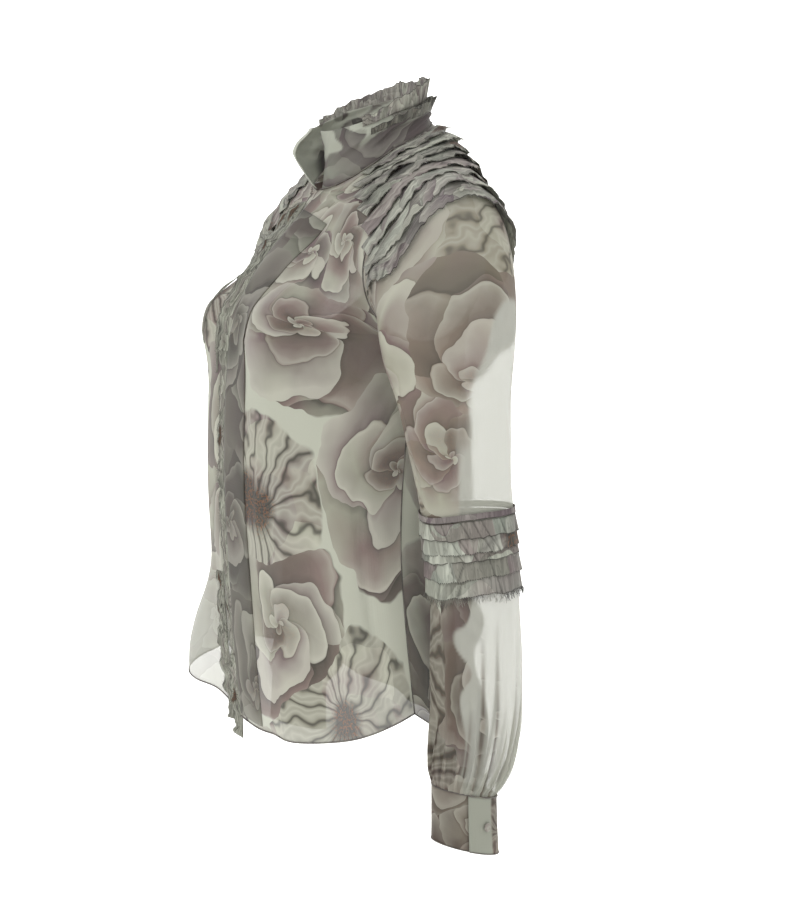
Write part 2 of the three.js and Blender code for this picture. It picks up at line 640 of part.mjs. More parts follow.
// Collar frills: gathered strips outside the top edge, round the sides and back
function collarFrill(frill) {
  return (angle, share) => {
    const height = read(COLLAR_ROWS, angle, 'height');
    const point = collarPoint(angle, Math.max(1 + frill.base / height, 0.4));
    const taper = Math.sqrt(Math.sin(Math.PI * clamp((angle - frill.from) / (frill.to - frill.from), 0.06, 0.94)));
    const wave = frill.wave * Math.sin(turn((angle - frill.from) * (360 / (frill.to - frill.from)) * frill.waves));
    const flat = new THREE.Vector3(Math.sin(turn(angle)), -Math.cos(turn(angle)), 0);
    point.addScaledVector(flat, frill.out + STRIP_WALL + share * (frill.lean + wave));
    point.z += share * frill.height * taper;
    return { point, out: flat };
  };
}
for (const frill of COLLAR_FRILLS) {
  const angles = steps(frill.from, frill.to, frill.waves * 3);
  add(frill.name, new Cloth().grid(angles, [0, 1], collarFrill(frill)).solid(STRIP_WALL), COLOURS.strip);
}

// One shoulder strip, lifted like a shingle over the root of the next one outward
function shoulderTier(tier, index) {
  return (around, share) => {
    const angle = mix(-tier.back, tier.front, around);
    const ends = Math.sqrt(Math.sin(Math.PI * clamp(around, 0.06, 0.94)));
    const sweep = TIER_SWEEP.step * (index + share) * bell(angle - TIER_SWEEP.angle, TIER_SWEEP.wide);
    const length = TIER.first + TIER.step * index + share * TIER.width * mix(0.72, 1, ends) + sweep;
    const { point, out } = shoulderCloth(length, angle);
    const wave = Math.sin(angle / 7 + index * 2.1) + 0.5 * Math.sin(angle / 3.1 + index);
    const wild = around > 0.05 && around < 0.95 ? 1 : 0.4;
    const behind = TIER.backRise * bell(angle + 60, 45);
    point.addScaledVector(out, TIER.root + share * (TIER.rise + behind + TIER.wave * wave * wild));
    return { point, out };
  };
}

const sides = [['left', (cloth) => cloth], ['right', mirrored]];
const ringAngles = (count) => steps(0, 360, count);

for (const [side, place] of sides) {
  // Upper sleeve, from the armhole to a seam under the elbow strips
  const upperLengths = [0, 14, 34, 62, 95, 135, 180, 228, 272, 306, ELBOW_SEAM];
  const upper = new Cloth().grid(upperLengths, ringAngles(2 * ARMHOLE_STEPS), place(sleeveSeamed));
  add(`sleeve_upper_${side}`, upper.solid(WALL), COLOURS.sleeve);

  // Lower sleeve, gathered into the cuff
  const lowerLengths = [ELBOW_SEAM, 430, 492, 535, 562, GATHERS.peak, CUFF.from];
  const lower = new Cloth().grid(lowerLengths, ringAngles(GATHERS.count * 3), place(sleeveCloth));
  add(`sleeve_lower_${side}`, lower.solid(WALL), COLOURS.sleeve);

  // Cuff: a band whose outer end laps over the inner one
  const cuff = (length, around) => {
    const angle = CUFF.lapEdge - CUFF.turn * (1 - around);
    const spiral = (at, turned) => sleevePoint(at, turned, CUFF.rise * (1 - (CUFF.lapEdge - turned) / CUFF.turn) - 1);
    return surface(spiral, -1, [CUFF.from, CUFF.to], [-720, 720], 0.0008)(length, angle);
  };
  const cuffCloth = new Cloth().grid([CUFF.from, CUFF.to], steps(0, 1, 24), place(cuff));
  add(`cuff_${side}`, cuffCloth.solid(WALL), COLOURS.band);

  // Covered button on the cuff's lap
  const spot = place(surface(sleevePoint, -1, [CUFF.from, CUFF.to], [-720, 720], 0.0008))(CUFF.buttonAt, CUFF.button);
  const disc = new THREE.CylinderGeometry(BUTTON.radius - 1, BUTTON.radius - 1, BUTTON.thickness, 12);
  disc.applyQuaternion(new THREE.Quaternion().setFromUnitVectors(new THREE.Vector3(0, 1, 0), spot.out));
  spot.point.addScaledVector(spot.out, BUTTON.thickness / 2 + CUFF.rise - 0.3);
  disc.translate(...spot.point.toArray());
  add(`cuff_button_${side}`, disc, COLOURS.button, 0.7);

  // Elbow band and strips, each free edge standing over the next root
  for (const strip of ELBOW_STRIPS) {
    const ring = (share, angle) => {
      const whole = ((angle % 360) + 360) % 360;
      const dip = ELBOW_DIP.drop * bell(whole - ELBOW_DIP.angle, ELBOW_DIP.wide);
      const { point, out } = sleeveCloth(mix(strip.from, strip.to, share) + dip, angle);
      point.addScaledVector(out, mix(strip.root, strip.edge, share) + STRIP_WALL - 0.5);
      return { point, out };
    };
    const rings = new Cloth().grid([0, 1], ringAngles(24), place(ring));
    add(`${strip.name}_${side}`, rings.solid(STRIP_WALL), COLOURS.strip);
  }

  // Shoulder strips from the neck out
  SHOULDER_TIERS.forEach((tier, index) => {
    const strip = new Cloth().grid(steps(0, 1, TIER.columns), [0, 1], place(shoulderTier(tier, index)));
    add(`shoulder_tier_${index + 1}_${side}`, strip.solid(STRIP_WALL), COLOURS.strip);
  });
}

export default blouse;
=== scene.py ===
import bisect
import math
import random

import bmesh
import bpy
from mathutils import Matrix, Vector, noise


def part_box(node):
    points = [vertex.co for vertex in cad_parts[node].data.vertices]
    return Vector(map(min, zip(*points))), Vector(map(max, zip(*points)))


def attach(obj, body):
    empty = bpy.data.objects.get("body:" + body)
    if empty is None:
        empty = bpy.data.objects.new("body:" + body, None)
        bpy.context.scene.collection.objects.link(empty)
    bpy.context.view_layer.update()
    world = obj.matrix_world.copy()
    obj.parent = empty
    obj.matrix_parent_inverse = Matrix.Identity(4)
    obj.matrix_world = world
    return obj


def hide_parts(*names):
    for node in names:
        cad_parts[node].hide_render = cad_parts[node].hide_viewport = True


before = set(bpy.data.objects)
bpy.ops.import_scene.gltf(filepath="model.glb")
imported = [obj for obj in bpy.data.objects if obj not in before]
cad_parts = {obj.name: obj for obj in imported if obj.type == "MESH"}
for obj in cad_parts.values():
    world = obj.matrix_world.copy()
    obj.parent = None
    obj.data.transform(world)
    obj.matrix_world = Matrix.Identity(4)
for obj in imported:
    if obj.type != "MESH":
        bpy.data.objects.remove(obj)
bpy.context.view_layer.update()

draw = random.Random(65)

# Camera: on the wearer's left, a little before the side seam and just above the hem, looking slightly down.
# A longish lens keeps the sleeve and the body near their true proportions.
VIEW_TURN = math.radians(65)
VIEW_DOWN = math.radians(8.7)
VIEW_DISTANCE = 1.9
across_view = Vector((math.cos(VIEW_TURN), math.sin(VIEW_TURN), 0))
along_view = Vector((
    -math.sin(VIEW_TURN) * math.cos(VIEW_DOWN),
    math.cos(VIEW_TURN) * math.cos(VIEW_DOWN),
    -math.sin(VIEW_DOWN),
))
lens = bpy.data.cameras.new("camera")
lens.lens = 68.65
camera = bpy.data.objects.new("camera", lens)
bpy.context.collection.objects.link(camera)
camera.location = Vector((
    math.sin(VIEW_TURN) * VIEW_DISTANCE,
    -math.cos(VIEW_TURN) * VIEW_DISTANCE,
    -0.043,
)) + across_view * 0.033
camera.rotation_euler = along_view.to_track_quat("-Z", "Y").to_euler()
bpy.context.scene.camera = camera
bpy.context.scene.cycles.transparent_max_bounces = 24
bpy.context.scene.view_settings.view_transform = "Standard"


# Studio: a white paper sweep well below the blouse, which the wearer holds up in the air.
# It is rolled up behind in one wide bend, so that no line shows where floor and wall meet.
def linear(code):
    values = [int(code[i:i + 2], 16) / 255 for i in (0, 2, 4)]
    bent = [v / 12.92 if v <= 0.04045 else ((v + 0.055) / 1.055) ** 2.4 for v in values]
    return (*bent, 1.0)


def new_material(name, rows):
    """A material from rows of nodes: name, kind with its operation, settings, and links by earlier names."""
    material = bpy.data.materials.new(name)
    material.use_nodes = True
    tree = material.node_tree
    tree.nodes.clear()
    made = {}
    for title, kind, settings, *links in rows:
        kind, *operation = kind.split()
        node = made[title] = tree.nodes.new("ShaderNode" + kind)
        if operation:
            node.operation = operation[0]
        for key, value in settings.items():
            if key == "stops":
                while len(node.color_ramp.elements) < len(value):
                    node.color_ramp.elements.new(0.5)
                for element, (at, colour) in zip(node.color_ramp.elements, value):
                    element.position = at
                    element.color = linear(colour) if isinstance(colour, str) else (colour, colour, colour, 1)
            elif isinstance(key, str) and hasattr(node, key):
                setattr(node, key, value)
            else:
                node.inputs[key].default_value = value
        for key, source in dict(*links).items():
            giver, _, output = source.partition(".")
            output = made[giver].outputs[int(output) if output.isdigit() else output or 0]
            tree.links.new(output, node.inputs[key])
    return material


paper = new_material("matt white background paper", [
    ("shader", "BsdfPrincipled", {
        "Base Color": linear("f7f7f5"), "Roughness": 0.95,
        "Emission Color": (1, 1, 1, 1), "Emission Strength": 0.35,
    }),
    ("out", "OutputMaterial", {}, {"Surface": "shader"}),
])

FLOOR_Z = -1.15
SWEEP_HALF = 5.0
SWEEP_START = 1.6
SWEEP_BEND = 1.9
bm = bmesh.new()
bmesh.ops.create_grid(bm, x_segments=4, y_segments=60, size=SWEEP_HALF)
for vertex in bm.verts:
    run = vertex.co.y - SWEEP_START
    height, depth = 0.0, vertex.co.y
    if run > 0:
        angle = min(run / SWEEP_BEND, math.pi / 2)
        depth = SWEEP_START + SWEEP_BEND * math.sin(angle)
        height = SWEEP_BEND * (1 - math.cos(angle)) + max(run - SWEEP_BEND * math.pi / 2, 0) * 2
    side = across_view * vertex.co.x
    back = Vector((along_view.x, along_view.y, 0)).normalized() * depth
    vertex.co = side + back + Vector((0, 0, FLOOR_Z + height))
mesh = bpy.data.meshes.new("paper_sweep")
bm.to_mesh(mesh)
bm.free()
mesh.shade_smooth()
sweep = bpy.data.objects.new("paper_sweep", mesh)
bpy.context.collection.objects.link(sweep)
sweep.data.materials.append(paper)

world = bpy.data.worlds.new("studio")
world.use_nodes = True
world.node_tree.nodes["Background"].inputs["Color"].default_value = (1, 1, 1, 1)
world.node_tree.nodes["Background"].inputs["Strength"].default_value = 0.62
bpy.context.scene.world = world
LAMPS = [
    # name, place (right, towards the camera, up), size, power
    ("large_softbox", (-1.3, 1.5, 1.3), 1.6, 13),
    ("side_softbox", (1.5, 0.9, 0.5), 1.4, 5),
    ("top_softbox", (0.2, -0.4, 1.9), 1.8, 8),
    ("paper_light", (0.0, -2.2, 1.2), 2.4, 60),
]
for name, (right, near, up), size, power in LAMPS:
    light = bpy.data.lights.new(name, "AREA")
    light.size = size
    light.energy = power
    lamp = bpy.data.objects.new(name, light)
    bpy.context.collection.objects.link(lamp)
    flat_view = Vector((along_view.x, along_view.y, 0)).normalized()
    lamp.location = across_view * right - flat_view * near + Vector((0, 0, up))
    target = Vector((0, 0, -0.35)) if name != "paper_light" else flat_view * 3 + Vector((0, 0, -0.6))
    lamp.rotation_euler = (target - lamp.location).to_track_quat("-Z", "Y").to_euler()


# Back: one wide panel of sheer silk chiffon, cut from the neck to a curved shirt-tail hem.
# It hangs hollow from the shoulders, so its soft lengthwise folds deepen towards the hem.
MM = 0.001
HEM = {"front": -614, "side": -574, "back": -628}
ARMPIT_Z = -195
NECK = {"half_width": 64, "front": -59, "front_drop": -43, "back": 68, "back_rise": 30}
FRONT_NECK_SHARE = 0.6
BACK_NECK_SHARE = 0.7


def table(names, rows):
    return [dict(zip(names.split(), row)) for row in rows]


BODY_ROWS = table("at half_width front back side square", [
    (0.0, 178, -150, 68, -30, 2.6),
    (0.2, 168, -157, 72, -34, 2.6),
    (0.42, 156, -162, 68, -35, 2.7),
    (0.6, 152, -165, 70, -32, 2.8),
    (0.8, 151, -164, 80, -24, 2.8),
    (1.0, 150, -157, 86, -8, 2.8),
])
CHEST_ROWS = table("at front back", [
    (-195, -157, 86),
    (-160, -145, 88),
    (-126, -126, 88),
    (-69, -82, 85),
    (-43, -59, 83),
    (0, -30, 77),
    (30, 0, 68),
])
TURN_ROWS = table("at turn square", [
    (0.0, 90, 2.8),
    (0.15, 80, 2.6),
    (0.35, 62, 2.3),
    (0.6, 42, 2.0),
    (0.8, 26, 2.0),
    (1.0, 8, 2.0),
])
SLEEVE_ROWS = table("at x y z reach_x reach_y reach_z depth inset tilt", [
    (0, 157.5, 6, -111.5, 7.5, 13, 83.5, 71, 25, 0),
    (26, 171, 7, -121, 17, 9, 74, 75, 14, 0),
    (62, 181, 5, -142, 24, 5, 58, 76, 6, 0),
    (105, 187, 3, -172, 27, 2, 38, 76, 2, 0),
    (150, 190, 3, -206, 29, 0, 18, 73, 0, 0),
    (200, 193, 8, -250, 30, 0, 6, 64, 0, 0),
    (250, 196, 13, -300, 31, 0, 0, 58, 0, 0),
    (315, 200, 18, -364, 33, 0, 0, 50, 0, 0),
    (404, 206, 24, -453, 34, 0, 0, 48.5, 0, 0),
    (511, 215, 22, -560, 35, 0, 0, 48.5, 0, 0.05),
    (562, 220, 14, -611, 33, 0, 0, 45, 0, 0.16),
    (588, 224, 5, -637, 28, 0, 0, 37.5, 0, 0.24),
    (594, 225, 3, -643, 26, 0, 0, 35, 0, 0.26),
    (652, 229, 2, -701, 27, 0, 0, 36, 0, 0.3),
])
BACK_FOLDS = table("at wide depth start end", [
    (0.1, 0.07, -5, 0.85, -0.2),
    (0.28, 0.08, 5, 0.95, -0.2),
    (0.47, 0.07, -5, 0.8, -0.2),
    (0.65, 0.07, 4.5, 0.75, -0.2),
    (0.82, 0.05, -3.5, 0.7, -0.2),
])


def mix(a, b, share):
    return a + (b - a) * share


def clamp(value, low=0.0, high=1.0):
    return min(max(value, low), high)


def rise(value, start, end):
    share = clamp((value - start) / (end - start))
    return share * share * (3 - 2 * share)


def bell(distance, width):
    return math.exp(-((distance / width) ** 2))


curves = {}


def curve_through(rows, column):
    """A smooth line through one column of a table: where each piece starts, and its cubic."""
    starts, pieces = [], []
    for i in range(len(rows) - 1):
        a, b = rows[i], rows[i + 1]
        before, after = rows[max(i - 1, 0)], rows[min(i + 2, len(rows) - 1)]
        span, step = b["at"] - a["at"], b[column] - a[column]
        slope_a = (b[column] - before[column]) / (b["at"] - before["at"]) * span
        slope_b = (after[column] - a[column]) / (after["at"] - a["at"]) * span
        starts.append(a["at"])
        square, cube = 3 * step - 2 * slope_a - slope_b, slope_a + slope_b - 2 * step
        pieces.append((span, a[column], slope_a, square, cube))
    return starts, pieces


def read(rows, at, column):
    key = (id(rows), column)
    if key not in curves:
        curves[key] = curve_through(rows, column)
    starts, pieces = curves[key]
    i = max(bisect.bisect_right(starts, at) - 1, 0)
    span, a, b, c, d = pieces[i]
    t = clamp((at - starts[i]) / span)
    return a + t * (b + t * (c + t * d))


def bend(share, turn, square):
    def spot(angle):
        wide, deep = abs(math.sin(angle)), abs(math.cos(angle))
        reach = (wide ** square + deep ** square) ** (-1 / square)
        return reach * math.sin(angle), reach * math.cos(angle)

    whole = math.radians(turn)
    x, y = spot(share * whole)
    end_x, end_y = spot(whole)
    return x / end_x, (1 - y) / (1 - end_y)


def sleeve_point(length, angle, out=0.0):
    row = {column: read(SLEEVE_ROWS, length, column) for column in SLEEVE_ROWS[0] if column != "at"}
    wide, deep = math.cos(math.radians(angle)), -math.sin(math.radians(angle))
    depth = row["depth"] + out
    return Vector((
        row["x"] + (row["reach_x"] + out) * wide - row["inset"] * deep * deep,
        row["y"] + row["reach_y"] * wide + depth * deep,
        row["z"] + row["reach_z"] * wide - row["tilt"] * depth * deep,
    ))


def neckline(angle):
    along = math.cos(math.radians(angle))
    depth, height = (NECK["front"], NECK["front_drop"]) if along > 0 else (-NECK["back"], -NECK["back_rise"])
    return Vector((math.sin(math.radians(angle)) * NECK["half_width"], depth * along, height * along))


def folded(folds, at, level):
    return sum(
        fold["depth"] * bell(at - fold["at"], fold["wide"])
        * rise((level - fold["start"]) / (fold["end"] - fold["start"]), 0, 0.7)
        for fold in folds
    )


def panel_point(share, level, side):
    body, chest = min(level, 1.0), clamp(level - 1)
    inner = Vector((0, read(BODY_ROWS, body, side), mix(HEM[side], ARMPIT_Z, body)))
    outer = Vector((
        read(BODY_ROWS, body, "half_width"),
        read(BODY_ROWS, body, "side"),
        mix(HEM["side"], ARMPIT_Z, body),
    ))
    turn, square = 90, read(BODY_ROWS, body, "square") if side == "front" else 2.3
    lean = 2.2
    if chest > 0:
        armhole_angle = 180 * (1 - chest) if side == "front" else 180 * (1 + chest)
        outer = sleeve_point(0, armhole_angle)
        turn = read(TURN_ROWS, chest, "turn")
        square = read(TURN_ROWS, chest, "square") if side == "front" else mix(2.3, 2, chest)
        lean = mix(2.2, 1.2 if side == "front" else 1.3, rise(chest, 0, 0.6))
        neck_share = FRONT_NECK_SHARE if side == "front" else BACK_NECK_SHARE
        top = NECK["front_drop"] if side == "front" else NECK["back_rise"]
        if chest < neck_share:
            z = mix(ARMPIT_Z, top, chest / neck_share)
            inner = Vector((0, read(CHEST_ROWS, z, side), z))
        else:
            turned = 90 * (chest - neck_share) / (1 - neck_share)
            inner = neckline(turned if side == "front" else 180 - turned)
    wide, deep = bend(share, turn, square)
    return Vector((
        mix(inner.x, outer.x, wide),
        mix(inner.y, outer.y, deep),
        mix(inner.z, outer.z, abs(share) ** lean),
    ))


def back_point(share, level):
    point = panel_point(share, level, "back")
    window = 1 - rise(share, 0.85, 1)
    fold = folded(BACK_FOLDS, share, level) * window
    point.y += fold * (1 - rise(share, 0.4, 1) * 0.5)
    point.x += fold * rise(share, 0.4, 1) * 0.6
    return point


def crease_height(creases, u, v):
    total = 0.0
    for crease in creases:
        along_u, along_v = crease["u2"] - crease["u"], crease["v2"] - crease["v"]
        long = along_u * along_u + along_v * along_v
        t = ((u - crease["u"]) * along_u + (v - crease["v"]) * along_v) / long
        if not -0.2 < t < 1.2:
            continue
        off = ((u - crease["u"]) * along_v - (v - crease["v"]) * along_u) / math.sqrt(long)
        off += crease["bow"] * math.sin(math.pi * clamp(t))
        ends = rise(t, -0.2, 0.3) * (1 - rise(t, 0.7, 1.2))
        total += crease["depth"] * bell(off, crease["wide"]) * ends
    return total


def make_cloth(
    name, node, cloth, columns, rows, place, size,
    height=None, mark=None, closed=False, inside=None, wall=0.0,
):
    """A grid of cloth that stands for node.

    place gives each point in mm, and size is the flat width and length in mm. height moves a point out along
    the cloth's normal, mark says how much of the print shows there (on the elbow strips, how much painted
    shade darkens their pleat folds), inside is a point on the hollow side, in mm, and wall is the thickness
    of doubled cloth.
    """
    bm = bmesh.new()
    bmesh.ops.create_grid(bm, x_segments=columns, y_segments=rows, size=0.5)
    uv = bm.loops.layers.uv.new("cloth")
    shade = bm.verts.layers.float.new("printed")
    bm.verts.ensure_lookup_table()
    spots = [(vertex.co.x + 0.5, vertex.co.y + 0.5) for vertex in bm.verts]
    for face in bm.faces:
        for loop in face.loops:
            u, v = spots[loop.vert.index]
            loop[uv].uv = (u * size[0] * MM, v * size[1] * MM)
    for vertex, (u, v) in zip(bm.verts, spots):
        vertex.co = place(u, v) * MM
        vertex[shade] = mark(u, v) if mark else 1.0
    if inside:
        middle = Vector(inside) * MM
        facing = 0.0
        bm.normal_update()
        for face in bm.faces:
            way = face.calc_center_median() - middle
            way.z *= 0.2
            facing += face.normal.dot(way) * face.calc_area()
        if facing < 0:
            bmesh.ops.reverse_faces(bm, faces=bm.faces)
    bm.normal_update()
    if height:
        lifts = [height(u, v) * MM for u, v in spots]
        normals = [vertex.normal.copy() for vertex in bm.verts]
        if closed:
            for vertex, normal in zip(bm.verts, normals):
                u, v = spots[vertex.index]
                if u < 1e-6 or u > 1 - 1e-6:
                    twin = vertex.index + columns if u < 0.5 else vertex.index - columns
                    normals[vertex.index] = (normal + normals[twin]).normalized()
        for vertex, normal, lift in zip(bm.verts, normals, lifts):
            vertex.co += normal * lift
    if closed:
        bmesh.ops.remove_doubles(bm, verts=bm.verts, dist=1e-6)
    if wall:
        bmesh.ops.solidify(bm, geom=bm.faces, thickness=wall * MM)
    mesh = bpy.data.meshes.new(name)
    bm.to_mesh(mesh)
    bm.free()
    mesh.shade_smooth()
    made = bpy.data.objects.new(name, mesh)
    bpy.context.collection.objects.link(made)
    mesh.materials.append(cloth)
    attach(made, "root")
    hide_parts(node)
    return made


def print_rows(seed, bloom, turn, colours, soft, leaves=1.2):
    """A soft rose print in the cloth's own UV metres. bloom is a flower's spacing along and across, in mm."""
    return [
        ("where", "TexCoord", {}),
        ("place", "Mapping", {
            "Location": (seed * 3.1, seed * 1.7, 0), "Rotation": (0, 0, turn),
            "Scale": (1000 / bloom[0], 1000 / bloom[1], 1),
        }, {"Vector": "where.UV"}),
        ("drift", "TexNoise", {"noise_dimensions": "2D", "Scale": 1.5, "Detail": 1.0}, {"Vector": "place"}),
        ("bent", "VectorMath MULTIPLY_ADD", {1: (0.42, 0.42, 0)}, {0: "drift.Color", 2: "place"}),
        ("ruffle", "TexNoise", {"noise_dimensions": "2D", "Scale": 7.0, "Detail": 1.0}, {
            "Vector": "place",
        }),
        ("spot", "VectorMath MULTIPLY_ADD", {1: (0.07, 0.07, 0)}, {0: "ruffle.Color", 2: "bent"}),
        ("cells", "TexVoronoi", {
            "voronoi_dimensions": "2D", "feature": "F1", "Scale": 1.0, "Randomness": 0.75,
        }, {"Vector": "spot"}),
        ("local", "VectorMath SUBTRACT", {}, {0: "spot", 1: "cells.Position"}),
        ("parts", "SeparateXYZ", {}, {0: "local"}),
        ("angle", "Math ARCTAN2", {}, {0: "parts.Y", 1: "parts.X"}),
        ("chance", "SeparateColor", {}, {0: "cells.Color"}),
        # Petals wind out from the heart, wider as they go; each turn holds three and a half arched rims
        ("root", "Math SQRT", {}, {0: "cells.Distance"}),
        ("ring", "Math MULTIPLY", {1: 4.7}, {0: "root"}),
        ("wound", "Math MULTIPLY_ADD", {1: 1 / math.tau}, {0: "angle", 2: "ring"}),
        ("lean", "Math MULTIPLY", {1: math.pi / 2}, {0: "wound"}),
        ("arch", "Math MULTIPLY_ADD", {1: 3.5 / 2}, {0: "angle", 2: "lean"}),
        ("arch_wave", "Math SINE", {}, {0: "arch"}),
        ("arch_rim", "Math ABSOLUTE", {}, {0: "arch_wave"}),
        ("petals", "Math MULTIPLY_ADD", {1: -0.42}, {0: "arch_rim", 2: "wound"}),
        ("petal", "Math FRACT", {}, {0: "petals"}),
        ("petal_shade", "ValToRGB", {"stops": [
            (0.0, 0.1), (0.05, 0.3), (0.25, 0.46), (0.6, 0.6), (0.86, 0.76), (0.95, 0.92), (0.985, 0.8),
            (1.0, 0.3),
        ]}, {0: "petal"}),
        # Each petal has a tone of its own, and is darker where the next one lies over its side
        ("arch_count", "Math MULTIPLY", {1: 1 / math.pi}, {0: "arch"}),
        ("across", "Math FRACT", {}, {0: "arch_count"}),
        ("side_shade", "ValToRGB", {"stops": [
            (0.0, 0.28), (0.1, 0.46), (0.5, 0.54), (0.9, 0.6), (1.0, 0.66),
        ]}, {0: "across"}),
        ("arch_whole", "Math FLOOR", {}, {0: "arch_count"}),
        ("ring_whole", "Math FLOOR", {}, {0: "petals"}),
        ("petal_id", "CombineXYZ", {}, {0: "arch_whole", 1: "ring_whole", 2: "chance.Red"}),
        ("tone", "TexWhiteNoise", {"noise_dimensions": "3D"}, {"Vector": "petal_id"}),
        ("both", "Math ADD", {}, {0: "petal_shade", 1: "side_shade"}),
        ("rose", "Math MULTIPLY_ADD", {1: 0.5, 2: -0.7}, {0: "tone.Value"}),
        ("rose_shade", "Math ADD", {}, {0: "both", 1: "rose"}),
        # Fluted petals stand close together round their heart
        ("flute_bend", "Math MULTIPLY", {1: 5.0}, {0: "ruffle.Fac"}),
        ("flute", "Math MULTIPLY_ADD", {1: 17.0}, {0: "angle", 2: "flute_bend"}),
        ("flute_wave", "Math SINE", {}, {0: "flute"}),
        ("flute_share", "MapRange", {"From Min": -1.0, "From Max": 1.0}, {0: "flute_wave"}),
        ("flute_shade", "ValToRGB", {"stops": [
            (0.0, 0.02), (0.07, 0.3), (0.2, 0.6), (0.8, 0.9), (1.0, 0.7),
        ]}, {0: "flute_share"}),
        ("kind", "Math GREATER_THAN", {1: 0.8}, {0: "chance.Red"}),
        ("shades", "Mix", {"data_type": "FLOAT"}, {0: "kind", 2: "rose_shade", 3: "flute_shade"}),
        # Washes of colour run over the flowers
        ("wash", "TexNoise", {"noise_dimensions": "2D", "Scale": 1.1, "Detail": 2.0}, {"Vector": "place"}),
        ("hue", "Mix", {"data_type": "FLOAT", "Factor": 0.5}, {2: "chance.Green", 3: "wash.Fac"}),
        ("shifted", "Math MULTIPLY_ADD", {1: 0.42}, {0: "tone.Value", 2: "hue"}),
        ("base", "ValToRGB", {"stops": colours}, {0: "shifted"}),
        ("dark", "MapRange", {"From Min": 0.48, "From Max": 0.0, "To Max": 0.8 * soft}, {0: "shades"}),
        ("shaded", "Mix", {"data_type": "RGBA", 7: linear("42413b")}, {0: "dark", 6: "base"}),
        ("light", "MapRange", {"From Min": 0.5, "From Max": 1.0, "To Max": 0.75 * soft}, {0: "shades"}),
        ("pale", "Mix", {"data_type": "RGBA", "Factor": 0.8, 7: linear("d9d9c9")}, {6: "base"}),
        ("lit", "Mix", {"data_type": "RGBA"}, {0: "light", 6: "shaded.2", 7: "pale.2"}),
        # Plain leaves of pale cloth show between some flowers, with sharp borders
        ("far", "Math MULTIPLY_ADD", {1: 0.35}, {0: "chance.Blue", 2: "cells.Distance"}),
        ("leaf", "MapRange", {"From Min": leaves, "From Max": leaves + 0.02}, {0: "far"}),
        ("leafed", "Mix", {"data_type": "RGBA", 7: linear("c4c6b6")}, {0: "leaf", 6: "lit.2"}),
        # Dark hearts with rust-brown stamens, only in the fluted flowers; the roses just deepen
        ("heart", "ValToRGB", {"stops": [(0.0, 0.95), (0.13, 0.9), (0.22, 0.0)]}, {0: "cells.Distance"}),
        ("deep", "MapRange", {"To Min": 0.15, "To Max": 1.0}, {0: "kind"}),
        ("heart_part", "Math MULTIPLY", {}, {0: "heart", 1: "deep"}),
        ("stamen", "TexNoise", {"noise_dimensions": "2D", "Scale": 30.0, "Detail": 1.0}, {
            "Vector": "place",
        }),
        ("stamen_colour", "ValToRGB", {"stops": [
            (0.0, "3a3834"), (0.5, "423e38"), (0.57, "8a5630"), (0.64, "3e3b36"),
        ]}, {0: "stamen.Fac"}),
        ("print", "Mix", {"data_type": "RGBA"}, {0: "heart_part", 6: "leafed.2", 7: "stamen_colour"}),
    ]


def sheer_cloth(name, seed, bloom, colours, ground, covering, bare, soft=1.0, leaves=1.2):
    """Printed silk chiffon: covering is how much the printed cloth hides, bare how much plain cloth hides."""
    return new_material(name, print_rows(seed, (bloom, bloom), seed, colours, soft, leaves) + [
        ("marked", "Attribute", {"attribute_name": "printed"}),
        ("amount", "MapRange", {"To Min": 0.0, "To Max": 1.0}, {0: "marked.Fac"}),
        ("tinted", "Mix", {"data_type": "RGBA", 6: linear(ground)}, {0: "amount", 7: "print.2"}),
        ("hides", "MapRange", {"To Min": bare, "To Max": covering}, {0: "marked.Fac"}),
        # Threads 0.12 mm apart can't show, so a weave of 1.4 mm is drawn
        ("threads", "TexWave", {
            "wave_type": "BANDS", "bands_direction": "X", "Scale": 110.0, "Distortion": 0.6, "Detail": 1.0,
        }, {"Vector": "where.UV"}),
        ("cross", "TexWave", {
            "wave_type": "BANDS", "bands_direction": "Y", "Scale": 110.0, "Distortion": 0.6, "Detail": 1.0,
        }, {"Vector": "where.UV"}),
        ("woven", "Math ADD", {}, {0: "threads.Fac", 1: "cross.Fac"}),
        ("bump", "Bump", {"Strength": 0.12, "Distance": 0.0002}, {"Height": "woven"}),
        ("shader", "BsdfPrincipled", {
            "Roughness": 0.72, "Specular IOR Level": 0.22, "Sheen Weight": 0.1, "Sheen Roughness": 0.4,
        }, {"Base Color": "tinted.2", "Alpha": "hides", "Normal": "bump"}),
        ("out", "OutputMaterial", {}, {"Surface": "shader"}),
    ])


PANEL_COLOURS = [
    (0.0, "766563"), (0.18, "857473"), (0.32, "796f65"), (0.44, "897872"), (0.52, "a4a393"), (0.6, "827a73"),
    (0.7, "7f6e6e"), (0.8, "b3b3a1"), (0.88, "877972"), (1.0, "939182"),
]
# The back's palette is the fronts' palette darkened, and its ground is darker too: painted shade for the back,
# seen inside the blouse and beside the sleeve
SHADED_BACK_COLOURS = [
    (0.0, "605250"), (0.18, "6c5e5d"), (0.32, "625a52"), (0.44, "6e625d"), (0.52, "848478"), (0.6, "6a625d"),
    (0.7, "675959"), (0.8, "909184"), (0.88, "6d625d"), (1.0, "78766a"),
]
back_cloth = sheer_cloth("printed silk chiffon, back", 1.3, 140, SHADED_BACK_COLOURS, "b9bdac", 0.9, 0.6, leaves=0.95)

